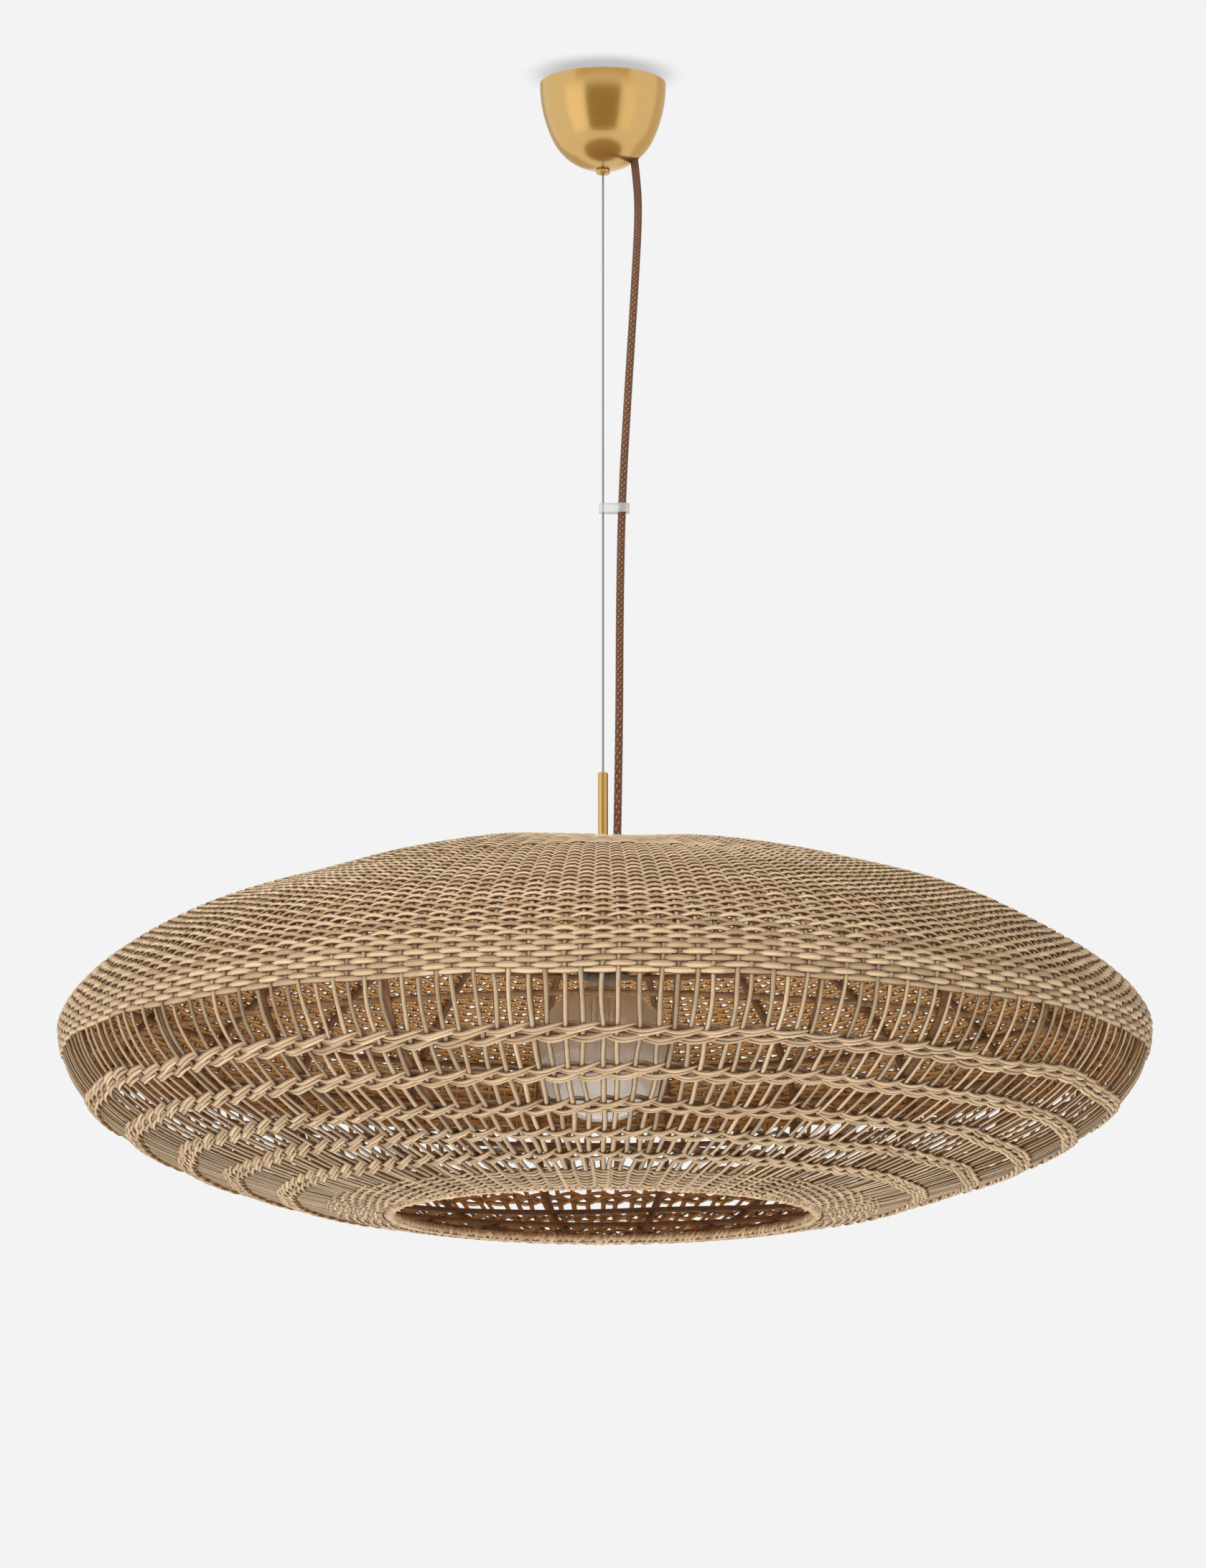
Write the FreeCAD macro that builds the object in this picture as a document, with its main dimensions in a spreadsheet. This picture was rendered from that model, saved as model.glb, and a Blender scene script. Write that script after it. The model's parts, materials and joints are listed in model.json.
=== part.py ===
import FreeCAD, Part
import math
import os
import re

from FreeCAD import Placement, Rotation, Vector
from Sketcher import Constraint

# Rise and fall pendant. Millimetres, Z up, origin at the centre of the ceiling plane.
# A spring hoist in the ceiling cup winds the suspension wire; a stem on the wire's
# end carries the lampholder and a round shade, woven over a rod frame.

doc = FreeCAD.newDocument("Pendant")

# ---------------------------------------------------------------- driving sizes
sizes = {
    # ceiling cup and plate
    "cup_rim_radius": 59.0,
    "cup_depth": 83.0,
    "cup_nose_radius": 52.0,
    "cup_wall": 1.0,
    "plate_gap": 0.3,
    "plate_thickness": 2.0,
    "fixing_circle_radius": 35.0,
    "fixing_hole_radius": 2.6,
    "supply_hole_radius": 7.0,
    "supply_hole_reach": 32.0,
    # hoist frame, axle and drum
    "strip_thickness": 1.5,
    "frame_left": 34.0,
    "frame_right": 8.0,
    "frame_bar_drop": 62.0,
    "rivet_radius": 2.0,
    "rivet_head_radius": 3.2,
    "rivet_head_height": 1.5,
    "rivet_inset": 6.0,
    "drum_drop": 32.0,
    "winding_radius": 22.0,
    "winding_width": 9.0,
    "drum_width": 24.0,
    "drum_wall": 3.5,
    "drum_end_wall": 2.0,
    "flange_radius": 26.0,
    "flange_thickness": 2.5,
    "axle_radius": 3.0,
    "axle_head_radius": 5.0,
    "axle_head_height": 1.5,
    "axle_tail": 2.5,
    "axle_clip_thickness": 1.0,
    "running_gap": 0.3,
    "bearing_gap": 0.05,
    "spring_turns": 4.0,
    "spring_strip": 0.8,
    "spring_width": 18.0,
    "spring_inner_gap": 0.6,
    # wire outlet
    "wire_radius": 0.95,
    "wire_lead_drop": 42.5,
    "outlet_radius": 5.0,
    "outlet_shank_radius": 3.6,
    "outlet_bore_radius": 2.0,
    "outlet_tail": 2.2,
    "outlet_head": 1.0,
    "ball_radius": 3.6,
    "ball_bore_radius": 1.5,
    "ball_gap": 0.1,
    "ball_seat": 1.0,
    "outlet_nut_radius": 6.5,
    "outlet_nut_lip": 1.6,
    "outlet_nut_mouth_radius": 3.0,
    "outlet_nut_flare": 0.6,
    "outlet_nut_chamfer": 1.0,
    "wire_end_gap": 0.4,
    # flex and its holders
    "flex_radius": 3.7,
    "flex_gap": 0.5,
    "flex_exit_reach": 29.6,
    "flex_entry_reach": 13.0,
    "terminal_reach": 30.0,
    "terminal_length": 30.0,
    "terminal_width": 16.0,
    "terminal_height": 22.0,
    "terminal_way_radius": 2.0,
    "terminal_way_pitch": 9.0,
    "clamp_height": 8.0,
    "clamp_length": 24.0,
    # clip between wire and flex
    "clip_drop": 407.0,
    "clip_height": 8.5,
    "clip_wall": 2.6,
    "clip_flex_reach": 17.8,
    # stem and lampholder
    "stem_top_drop": 656.0,
    "stem_radius": 4.75,
    "stem_bore_radius": 3.55,
    "stem_cap_height": 2.0,
    "stem_plug_height": 5.0,
    "crimp_radius": 3.0,
    "crimp_length": 10.0,
    "spider_thickness": 2.0,
    "spider_hub_radius": 20.0,
    "spider_rim_width": 8.0,
    "spider_arm_width": 9.0,
    "spider_arm_count": 4.0,
    "stem_nut_radius": 7.5,
    "stem_nut_height": 4.0,
    "holder_drop": 134.0,
    "holder_cap_height": 22.0,
    "holder_cap_radius": 20.0,
    "holder_body_height": 26.0,
    "holder_body_radius": 21.5,
    "holder_ring_height": 8.0,
    "holder_ring_radius": 23.5,
    "holder_wall": 1.8,
    "stem_engagement": 6.0,
    "insert_height": 6.0,
    "screw_shell_radius": 14.2,
    "screw_shell_wall": 0.5,
    "contact_radius": 4.0,
    "contact_height": 2.0,
    # globe bulb
    "bulb_radius": 62.5,
    "bulb_neck_length": 12.66,
    "bulb_glass_wall": 0.8,
    "bulb_neck_radius": 17.0,
    "bulb_collar_radius": 13.0,
    "bulb_collar_inset": 1.6,
    "bulb_cap_radius": 13.2,
    "bulb_cap_height": 25.0,
    "bulb_tip_height": 3.0,
    "bulb_tip_radius": 4.5,
    "mount_flare_radius": 8.0,
    "mount_rod_radius": 2.2,
    "mount_length": 66.0,
    "filament_count": 6.0,
    "filament_thickness": 1.6,
    "filament_length": 30.0,
    "filament_circle_radius": 10.0,
    "filament_wire": 0.7,
    "filament_drop": 52.0,
    # shade: outline, frame and weave
    "shade_radius": 500.0,
    "shade_drop": 241.2,
    "crown_rise": 166.4,
    "crown_roundness": 1.56,
    "crown_spread": 2.1,
    "bowl_depth": 186.1,
    "bowl_roundness": 2.3,
    "bowl_spread": 1.91,
    "crown_hole_radius": 22.0,
    "crown_edge_depth": 24.7,
    "weave_thickness": 3.0,
    "layer_gap": 0.3,
    "weave_sides": 48.0,
    "rim_sides": 8.0,
    "rib_count": 24.0,
    "rib_width": 6.0,
    "rib_depth": 8.0,
    "crown_ring_radius": 42.0,
    "crown_ring_width": 6.0,
    "stakes_per_rib": 3.0,
    "stake_width": 4.6,
    "stake_thickness": 2.4,
    "band_width": 18.0,
    "border_width": 48.0,
    "border_gap": 6.0,
    "hoop_width": 6.0,
    "hoop_thickness": 5.0,
    "rim_radius": 194.0,
    "rim_wrap_radius": 5.8,
    "rim_hoop_radius": 3.4,
    "rim_hoop_sides": 4.0,
    "rim_stop_gap": 1.0,
    # each twined band's share of the way from the rim out to the widest line
    "band_share_1": 0.889,
    "band_share_2": 0.761,
    "band_share_3": 0.611,
    "band_share_4": 0.464,
    "band_share_5": 0.31,
    # each hoop's share of the bowl's depth, or of the crown's rise where it is negative
    "crown_hoop_share": -0.709,
    "shoulder_hoop_share": -0.282,
    "equator_hoop_share": 0.0,
    "belly_hoop_share": 0.253,
    "lower_hoop_share": 0.72,
    "mouth_hoop_share": 0.852,
}

sheet = doc.addObject("Spreadsheet::Sheet", "Sizes")
for row, (alias, number) in enumerate(sizes.items(), start=1):
    sheet.set("A%d" % row, alias)
    sheet.set("B%d" % row, str(number))
    sheet.setAlias("B%d" % row, alias)
doc.recompute()

# ------------------------------------------------------- formulas used in places
cup_inside = "cup_rim_radius - cup_wall - plate_gap"
cheek_inner = "drum_width / 2 + running_gap"
cheek_outer = "drum_width / 2 + running_gap + strip_thickness"
drum_face = "winding_radius - wire_radius"
outlet_tip_drop = "cup_depth + outlet_tail"
ball_drop = "cup_depth + outlet_tail - sqrt(ball_radius ^ 2 - outlet_nut_mouth_radius ^ 2) - ball_gap"
flex_hole_radius = "flex_radius + flex_gap"
holder_top_drop = "(stem_top_drop + holder_drop)"
holder_seat_drop = "(%s + holder_cap_height)" % holder_top_drop
holder_ring_drop = "(%s + holder_body_height)" % holder_seat_drop
bulb_collar_drop = "(%s + holder_ring_height - bulb_collar_inset)" % holder_ring_drop
bulb_join = "sqrt(bulb_radius ^ 2 - bulb_neck_radius ^ 2)"
bulb_centre_drop = "(%s + bulb_neck_length + %s)" % (bulb_collar_drop, bulb_join)
equator_drop = "(stem_top_drop + shade_drop)"

nodes = {}


def linked(formula):
    """Formula with every size name pointed at its cell."""
    return re.sub(
        r"[A-Za-z_][A-Za-z_0-9]*",
        lambda found: "Sizes." + found.group() if found.group() in sizes else found.group(),
        formula,
    )


def value(formula):
    result = sheet.evalExpression(formula)
    return float(getattr(result, "Value", result))


def bind(item, path, formula):
    item.setExpression(path, linked(formula))


def keep(item, node):
    item.Label = node
    nodes[node] = item
    return item


# ------------------------------------------------------------- sketch helpers
def origin_plane(body, role):
    return next(f for f in body.Origin.OriginFeatures if f.Role == role)


def new_sketch(body, name, role="XY_Plane", lift=None):
    sketch = body.newObject("Sketcher::SketchObject", name)
    sketch.AttachmentSupport = [(origin_plane(body, role), "")]
    sketch.MapMode = "FlatFace"
    if lift:
        bind(sketch, "AttachmentOffset.Base.z", lift)
    return sketch


def arc_between(start, end, radius):
    """Arc from start to end; a positive radius bulges to the right of the way."""
    chord = end - start
    half = chord.Length / 2
    side = Vector(chord.y, -chord.x, 0).normalize()
    turned = abs(radius)
    rise = turned - math.sqrt(max(turned ** 2 - half ** 2, 0))
    middle = (start + end) / 2 + side * math.copysign(rise, radius)
    return Part.Arc(start, middle, end)


def pin_point(sketch, edge, end, x_formula, y_formula):
    for kind, formula in (("DistanceX", x_formula), ("DistanceY", y_formula)):
        index = sketch.addConstraint(Constraint(kind, -1, 1, edge, end, value(formula)))
        bind(sketch, "Constraints[%d]" % index, formula)


def draw_outline(sketch, corners):
    """Closed outline; a corner is (x, y) or (x, y, radius of the arc to the next corner)."""
    spots = [Vector(value(c[0]), value(c[1]), 0) for c in corners]
    joints = []
    for number, corner in enumerate(corners):
        start = spots[number]
        end = spots[(number + 1) % len(spots)]
        if len(corner) == 3:
            edge = sketch.addGeometry(arc_between(start, end, value(corner[2])), False)
            index = sketch.addConstraint(Constraint("Radius", edge, abs(value(corner[2]))))
            bind(sketch, "Constraints[%d]" % index, "abs(%s)" % corner[2])
        else:
            edge = sketch.addGeometry(Part.LineSegment(start, end), False)
        first = 1 if sketch.getPoint(edge, 1).isEqual(start, 1e-6) else 2
        joints.append((edge, first, 3 - first))
    for number, (edge, first, last) in enumerate(joints):
        after, after_first, unused = joints[(number + 1) % len(joints)]
        sketch.addConstraint(Constraint("Coincident", edge, last, after, after_first))
        pin_point(sketch, edge, first, corners[number][0], corners[number][1])


def draw_circle(sketch, x_formula, y_formula, radius_formula):
    spot = Vector(value(x_formula), value(y_formula), 0)
    edge = sketch.addGeometry(Part.Circle(spot, Vector(0, 0, 1), value(radius_formula)), False)
    index = sketch.addConstraint(Constraint("Radius", edge, value(radius_formula)))
    bind(sketch, "Constraints[%d]" % index, radius_formula)
    pin_point(sketch, edge, 3, x_formula, y_formula)


# ------------------------------------------------------------- feature helpers
def new_body(node, drop=None):
    body = doc.addObject("PartDesign::Body", node)
    if drop:
        bind(body, "Placement.Base.z", "0 - (%s)" % drop)
    return keep(body, node)


def pad(body, sketch, length, midplane=False):
    feature = body.newObject("PartDesign::Pad", sketch.Name + "_pad")
    feature.Profile = sketch
    bind(feature, "Length", length)
    if midplane:
        feature.SideType = "Symmetric"
    return feature


def pocket_through(body, sketch):
    feature = body.newObject("PartDesign::Pocket", sketch.Name + "_pocket")
    feature.Profile = sketch
    feature.Type = "ThroughAll"
    feature.SideType = "Symmetric"
    return feature


def polar_pattern(body, feature, count):
    pattern = body.newObject("PartDesign::PolarPattern", feature.Name + "_pattern")
    pattern.Originals = [feature]
    pattern.Axis = (origin_plane(body, "Z_Axis"), [""])
    pattern.Angle = 360
    bind(pattern, "Occurrences", count)
    body.Tip = pattern
    return pattern


def turned(node, corners, drop=None):
    """A turned piece: its outline of (radius, height) corners, spun round the Z axis."""
    body = new_body(node, drop)
    sketch = new_sketch(body, node + "_outline", "XZ_Plane")
    draw_outline(sketch, corners)
    feature = body.newObject("PartDesign::Revolution", node + "_spin")
    feature.Profile = sketch
    feature.ReferenceAxis = (sketch, ["V_Axis"])
    feature.Angle = 360
    return body


def lay_along_y(body, x_formula, drop):
    """Turns a piece's Z axis to the Y axis and puts it on the drum's axis."""
    body.Placement = Placement(Vector(0, 0, 0), Rotation(Vector(1, 0, 0), -90))
    bind(body, "Placement.Base.x", x_formula)
    bind(body, "Placement.Base.z", "0 - (%s)" % drop)


def ring_corners(inner, outer, low, high):
    return [(inner, low), (outer, low), (outer, high), (inner, high)]


# -------------------------------------------------------------- ceiling and cup
def ceiling_plate():
    body = new_body("ceiling_plate", "plate_thickness")
    disc = new_sketch(body, "plate_disc")
    draw_circle(disc, "0", "0", cup_inside)
    draw_circle(disc, "0", "fixing_circle_radius", "fixing_hole_radius")
    draw_circle(disc, "0", "0 - fixing_circle_radius", "fixing_hole_radius")
    draw_circle(disc, "supply_hole_reach * 0.6", "0 - supply_hole_reach * 0.8", "supply_hole_radius")
    draw_circle(disc, "rivet_inset - frame_left", "0", "rivet_radius")
    draw_circle(disc, "frame_right - rivet_inset", "0", "rivet_radius")
    pad(body, disc, "plate_thickness")


def canopy_cup():
    # Side arc centred on the rim plane, nose arc centred on the axis, tangent where they meet.
    side = "((2 * cup_depth * cup_nose_radius - cup_depth ^ 2 - cup_rim_radius ^ 2)" \
           " / (2 * (cup_nose_radius - cup_rim_radius)))"
    nose_centre = "(cup_depth - cup_nose_radius)"
    span = "(%s - cup_nose_radius)" % side
    reach = "((%s - cup_rim_radius) / %s)" % (side, span)
    drop = "(%s / %s)" % (nose_centre, span)
    inner_side = "(%s - cup_wall)" % side
    inner_nose = "(cup_nose_radius - cup_wall)"
    hole = "outlet_radius"

    def on_nose(radius):
        across = "(%s * %s)" % (radius, reach)
        down = "0 - %s - %s * %s" % (nose_centre, radius, drop)
        return across, down

    def at_hole(radius):
        return hole, "0 - %s - sqrt(%s ^ 2 - %s ^ 2)" % (nose_centre, radius, hole)

    body = turned("canopy_cup", [
        ("cup_rim_radius", "0", "0 - " + side),
        on_nose("cup_nose_radius") + ("0 - cup_nose_radius",),
        at_hole("cup_nose_radius"),
        at_hole(inner_nose) + (inner_nose,),
        on_nose(inner_nose) + (inner_side,),
        ("cup_rim_radius - cup_wall", "0"),
    ])
    exit_hole = new_sketch(body, "flex_exit", "XY_Plane", "0 - cup_depth")
    draw_circle(exit_hole, "flex_exit_reach", "0", flex_hole_radius)
    cut = body.newObject("PartDesign::Pocket", "flex_exit_pocket")
    cut.Profile = exit_hole
    bind(cut, "Length", "cup_depth / 2")
    cut.Reversed = True


def outlet_tube():
    # Threaded outlet: riveted into the frame's bar, through the cup, with a seat for the ball.
    turned("outlet_tube", [
        ("outlet_bore_radius", "outlet_head - frame_bar_drop"),
        ("outlet_shank_radius + outlet_head", "outlet_head - frame_bar_drop"),
        ("outlet_shank_radius + outlet_head", "0 - frame_bar_drop"),
        ("outlet_shank_radius", "0 - frame_bar_drop"),
        ("outlet_shank_radius", "0 - frame_bar_drop - strip_thickness"),
        ("outlet_radius", "0 - frame_bar_drop - strip_thickness"),
        ("outlet_radius", "0 - (%s)" % outlet_tip_drop),
        ("ball_radius + ball_gap", "0 - (%s)" % outlet_tip_drop),
        ("ball_radius + ball_gap", "0 - (%s) + ball_radius + ball_seat" % ball_drop),
        ("outlet_bore_radius", "0 - (%s) + ball_radius + ball_seat" % ball_drop),
    ])


def outlet_nut():
    face = "0 - (%s) - outlet_nut_lip" % outlet_tip_drop
    turned("outlet_nut", [
        ("outlet_radius", "0 - cup_depth"),
        ("outlet_radius", "0 - (%s)" % outlet_tip_drop),
        ("outlet_nut_mouth_radius", "0 - (%s)" % outlet_tip_drop),
        ("outlet_nut_mouth_radius + outlet_nut_flare", face),
        ("outlet_nut_radius - outlet_nut_chamfer", face),
        ("outlet_nut_radius", face + " + outlet_nut_chamfer"),
        ("outlet_nut_radius", "0 - cup_depth"),
    ])


def swivel_bush():
    rise = "sqrt(ball_radius ^ 2 - ball_bore_radius ^ 2)"
    turned("swivel_bush", [
        ("ball_bore_radius", "0 - " + rise, "ball_radius"),
        ("ball_bore_radius", rise),
    ], ball_drop)


# ------------------------------------------------------------------- the hoist
def hoist_frame():
    body = new_body("hoist_frame", "plate_thickness")
    loop = new_sketch(body, "frame_loop", "YZ_Plane", "0 - frame_left")
    depth = "0 - (frame_bar_drop + strip_thickness - plate_thickness)"
    bar = "0 - (frame_bar_drop - plate_thickness)"
    draw_outline(loop, [
        ("0 - (%s)" % cheek_outer, depth),
        (cheek_outer, depth),
        (cheek_outer, "0"),
        ("0 - (%s)" % cheek_outer, "0"),
    ])
    draw_outline(loop, [
        ("0 - (%s)" % cheek_inner, bar),
        (cheek_inner, bar),
        (cheek_inner, "0 - strip_thickness"),
        ("0 - (%s)" % cheek_inner, "0 - strip_thickness"),
    ])
    pad(body, loop, "frame_left + frame_right")
    axle_hole = new_sketch(body, "axle_hole", "XZ_Plane")
    draw_circle(axle_hole, "0 - winding_radius", "plate_thickness - drum_drop", "axle_radius")
    pocket_through(body, axle_hole)
    rivet_holes = new_sketch(body, "rivet_holes", "XY_Plane", "0 - strip_thickness")
    draw_circle(rivet_holes, "rivet_inset - frame_left", "0", "rivet_radius")
    draw_circle(rivet_holes, "frame_right - rivet_inset", "0", "rivet_radius")
    rivets = body.newObject("PartDesign::Pocket", "rivet_pocket")
    rivets.Profile = rivet_holes
    rivets.Reversed = True
    bind(rivets, "Length", "strip_thickness")
    outlet_hole = new_sketch(body, "outlet_hole", "XY_Plane", depth)
    draw_circle(outlet_hole, "0", "0", "outlet_shank_radius")
    outlet = body.newObject("PartDesign::Pocket", "outlet_pocket")
    outlet.Profile = outlet_hole
    outlet.Reversed = True
    bind(outlet, "Length", "strip_thickness")


def frame_rivets():
    """Two rivets hold the frame's web to the ceiling plate."""
    grip = value("plate_thickness + strip_thickness")
    shank = Part.makeCylinder(value("rivet_radius"), grip, Vector(0, 0, -grip))
    head = Part.makeCylinder(
        value("rivet_head_radius"), value("rivet_head_height"),
        Vector(0, 0, -grip - value("rivet_head_height")))
    rivet = shank.fuse(head).removeSplitter()
    spots = [value("rivet_inset - frame_left"), value("frame_right - rivet_inset")]
    add_shape("frame_rivets", [moved(rivet, Vector(x, 0, 0)) for x in spots])


def hoist_axle():
    body = turned("hoist_axle", [
        ("0", "0 - (%s)" % cheek_outer + " - axle_head_height"),
        ("axle_head_radius", "0 - (%s)" % cheek_outer + " - axle_head_height"),
        ("axle_head_radius", "0 - (%s)" % cheek_outer),
        ("axle_radius", "0 - (%s)" % cheek_outer),
        ("axle_radius", "%s + axle_tail" % cheek_outer),
        ("0", "%s + axle_tail" % cheek_outer),
    ])
    lay_along_y(body, "0 - winding_radius", "drum_drop")
    clip = turned("axle_clip", ring_corners(
        "axle_radius", "axle_head_radius", cheek_outer, "%s + axle_clip_thickness" % cheek_outer))
    lay_along_y(clip, "0 - winding_radius", "drum_drop")


def cable_drum():
    half = "drum_width / 2"
    groove = "winding_width / 2"
    flange = "winding_width / 2 + flange_thickness"
    cover = "drum_width / 2 - drum_end_wall"
    body = turned("cable_drum", [
        ("axle_radius + bearing_gap", "0 - " + half),
        (drum_face, "0 - " + half),
        (drum_face, "0 - (%s)" % flange),
        ("flange_radius", "0 - (%s)" % flange),
        ("flange_radius", "0 - " + groove),
        (drum_face, "0 - " + groove),
        (drum_face, groove),
        ("flange_radius", groove),
        ("flange_radius", flange),
        (drum_face, flange),
        (drum_face, cover),
        ("%s - drum_wall" % drum_face, cover),
        ("%s - drum_wall" % drum_face, "drum_end_wall - " + half),
        ("axle_radius + bearing_gap", "drum_end_wall - " + half),
    ])
    lay_along_y(body, "0 - winding_radius", "drum_drop")
    lid = turned("drum_cover", ring_corners("axle_radius + bearing_gap", drum_face, cover, half))
    lay_along_y(lid, "0 - winding_radius", "drum_drop")
    coil = turned("wound_wire", ring_corners(
        drum_face, "winding_radius + wire_radius",
        "bearing_gap - " + groove, groove + " - bearing_gap"))
    lay_along_y(coil, "0 - winding_radius", "drum_drop")


def mainspring():
    """Flat spiral strip inside the drum, from the axle out to the drum's wall."""
    inner = value("axle_radius + spring_inner_gap")
    outer = value("%s - drum_wall - bearing_gap - spring_strip" % drum_face)
    halves = int(value("2 * spring_turns"))
    growth = (outer - inner) / halves

    def spiral(start):
        edges = []
        radius = start
        side = 1
        left = -start
        for number in range(halves):
            right = left + 2 * radius if side > 0 else left - 2 * radius
            centre = (left + right) / 2
            top = Vector(centre, radius * side, 0)
            edges.append(Part.Arc(Vector(left, 0, 0), top, Vector(right, 0, 0)).toShape())
            left = right
            radius += growth
            side = -side
        return edges

    inside = spiral(inner)
    outside = spiral(inner + value("spring_strip"))
    ends = [
        Part.makeLine(inside[0].Vertexes[0].Point, outside[0].Vertexes[0].Point),
        Part.makeLine(inside[-1].Vertexes[-1].Point, outside[-1].Vertexes[-1].Point),
    ]
    wire = Part.Wire(Part.__sortEdges__(inside + outside + ends))
    width = value("spring_width")
    strip = Part.Face(wire).extrude(Vector(0, 0, width))
    place = Placement(
        Vector(value("0 - winding_radius"), -width / 2, value("0 - drum_drop")),
        Rotation(Vector(1, 0, 0), -90))
    add_shape("mainspring", [strip], place)


# ----------------------------------------------------------- shapes set directly
def add_shape(node, solids, place=None):
    feature = doc.addObject("Part::Feature", node)
    feature.Shape = solids[0] if len(solids) == 1 else Part.makeCompound(solids)
    if place:
        feature.Placement = place
    return keep(feature, node)


def moved(shape, offset):
    copy = shape.copy()
    copy.translate(offset)
    return copy


def spun(shape, angle):
    copy = shape.copy()
    copy.rotate(Vector(0, 0, 0), Vector(0, 0, 1), angle)
    return copy


# -------------------------------------------------------------- wires and flexes
def straight_wire(node, top_drop, bottom_drop):
    rod = doc.addObject("Part::Cylinder", node)
    bind(rod, "Radius", "wire_radius")
    bind(rod, "Height", "(%s) - (%s)" % (bottom_drop, top_drop))
    bind(rod, "Placement.Base.z", "0 - (%s)" % bottom_drop)
    keep(rod, node)


def cord_tube(node, points, radius):
    """Tube along straight runs joined by tangent arcs; prints its smallest bend radius."""
    edges = []
    bends = []
    start = points[0]
    for before, corner, after in zip(points, points[1:], points[2:]):
        back = before - corner
        ahead = after - corner
        shorter = min(back.Length, ahead.Length)
        half_turn = (math.pi - back.getAngle(ahead)) / 2
        reach = 0.45 * shorter
        bend = reach / math.tan(half_turn)
        bends.append(bend)
        into = corner + back.normalize() * reach
        out = corner + ahead.normalize() * reach
        toward = (into + out) / 2 - corner
        middle = corner + toward.normalize() * (bend / math.cos(half_turn) - bend)
        edges.append(Part.LineSegment(start, into).toShape())
        edges.append(Part.Arc(into, middle, out).toShape())
        start = out
    edges.append(Part.LineSegment(start, points[-1]).toShape())
    path = Part.Wire(edges)
    first = (points[1] - points[0]).normalize()
    section = Part.Wire(Part.Circle(points[0], first, radius).toShape())
    tube = path.makePipeShell([section], True, False)
    expected = math.pi * radius ** 2 * path.Length
    print("%s: length %.1f, smallest bend %.1f, volume / (section x length) %.4f"
          % (node, path.Length, min(bends), tube.Volume / expected))
    add_shape(node, [tube])


# Route of the free flex from the cup's hole to the shade's crown, chosen from the photograph.
power_cord_route = [
    Vector(28.4, 0.0, -66.0),
    Vector(30.8, -0.4, -86.0),
    Vector(33.4, -1.2, -120.0),
    Vector(30.4, -2.0, -182.0),
    Vector(23.6, -1.4, -290.0),
    Vector(17.4, 0.2, -398.0),
    Vector(15.4, 0.8, -506.0),
    Vector(15.0, 0.4, -614.0),
    Vector(13.0, 0.0, -722.0),
]

# Inside the cup, up to the terminal block.
flex_tail_route = [
    Vector(28.4, 0.0, -66.0),
    Vector(26.96, 0.24, -54.0),
    Vector(30.0, 0.0, -38.0),
    Vector(30.0, 0.0, -24.0),
]

# Inside the shade, beside the stem, down into the lampholder's cap.
holder_flex_route = [
    Vector(13.0, 0.0, -722.0),
    Vector(12.6, -0.08, -743.6),
    Vector(13.0, 0.0, -767.0),
    Vector(13.0, 0.0, -793.0),
]


def flexes():
    radius = value("flex_radius")
    cord_tube("power_cord", power_cord_route, radius)
    cord_tube("flex_tail", flex_tail_route, radius)
    cord_tube("holder_flex", holder_flex_route, radius)


def terminal_block():
    body = new_body("terminal_block", "plate_thickness + terminal_height")
    block = new_sketch(body, "terminal_outline")
    left = "terminal_reach - terminal_width / 2"
    right = "terminal_reach + terminal_width / 2"
    draw_outline(block, [
        (left, "0 - terminal_length / 2"),
        (right, "0 - terminal_length / 2"),
        (right, "terminal_length / 2"),
        (left, "terminal_length / 2"),
    ])
    pad(body, block, "terminal_height")
    ways = new_sketch(body, "terminal_ways", "YZ_Plane", left)
    for step in ("0 - terminal_way_pitch", "0", "terminal_way_pitch"):
        draw_circle(ways, step, "terminal_height / 2", "terminal_way_radius")
    cut = body.newObject("PartDesign::Pocket", "terminal_ways_pocket")
    cut.Profile = ways
    cut.Reversed = True
    bind(cut, "Length", "terminal_width")


def cord_clamp():
    body = new_body("cord_clamp", "plate_thickness + terminal_height + clamp_height")
    saddle = new_sketch(body, "clamp_outline")
    left = "terminal_reach - terminal_width / 2"
    right = "terminal_reach + terminal_width / 2"
    draw_outline(saddle, [
        (left, "0 - clamp_length / 2"),
        (right, "0 - clamp_length / 2"),
        (right, "clamp_length / 2"),
        (left, "clamp_length / 2"),
    ])
    draw_circle(saddle, "terminal_reach", "0", "flex_radius + flex_gap")
    pad(body, saddle, "clamp_height")


def cord_clip():
    """Flat clip: a hole for the wire at one end, a ring round the flex at the other."""
    body = new_body("cord_clip", "clip_drop + clip_height / 2")
    small = "(wire_radius + running_gap + clip_wall)"
    large = "(%s + clip_wall)" % flex_hole_radius
    plan = new_sketch(body, "clip_plan")
    draw_outline(plan, [
        ("0", "0 - " + small),
        ("clip_flex_reach", "0 - " + large, large),
        ("clip_flex_reach + " + large, "0", large),
        ("clip_flex_reach", large),
        ("0", small, small),
        ("0 - " + small, "0", small),
    ])
    draw_circle(plan, "0", "0", "wire_radius + running_gap")
    draw_circle(plan, "clip_flex_reach", "0", flex_hole_radius)
    pad(body, plan, "clip_height")


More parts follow.
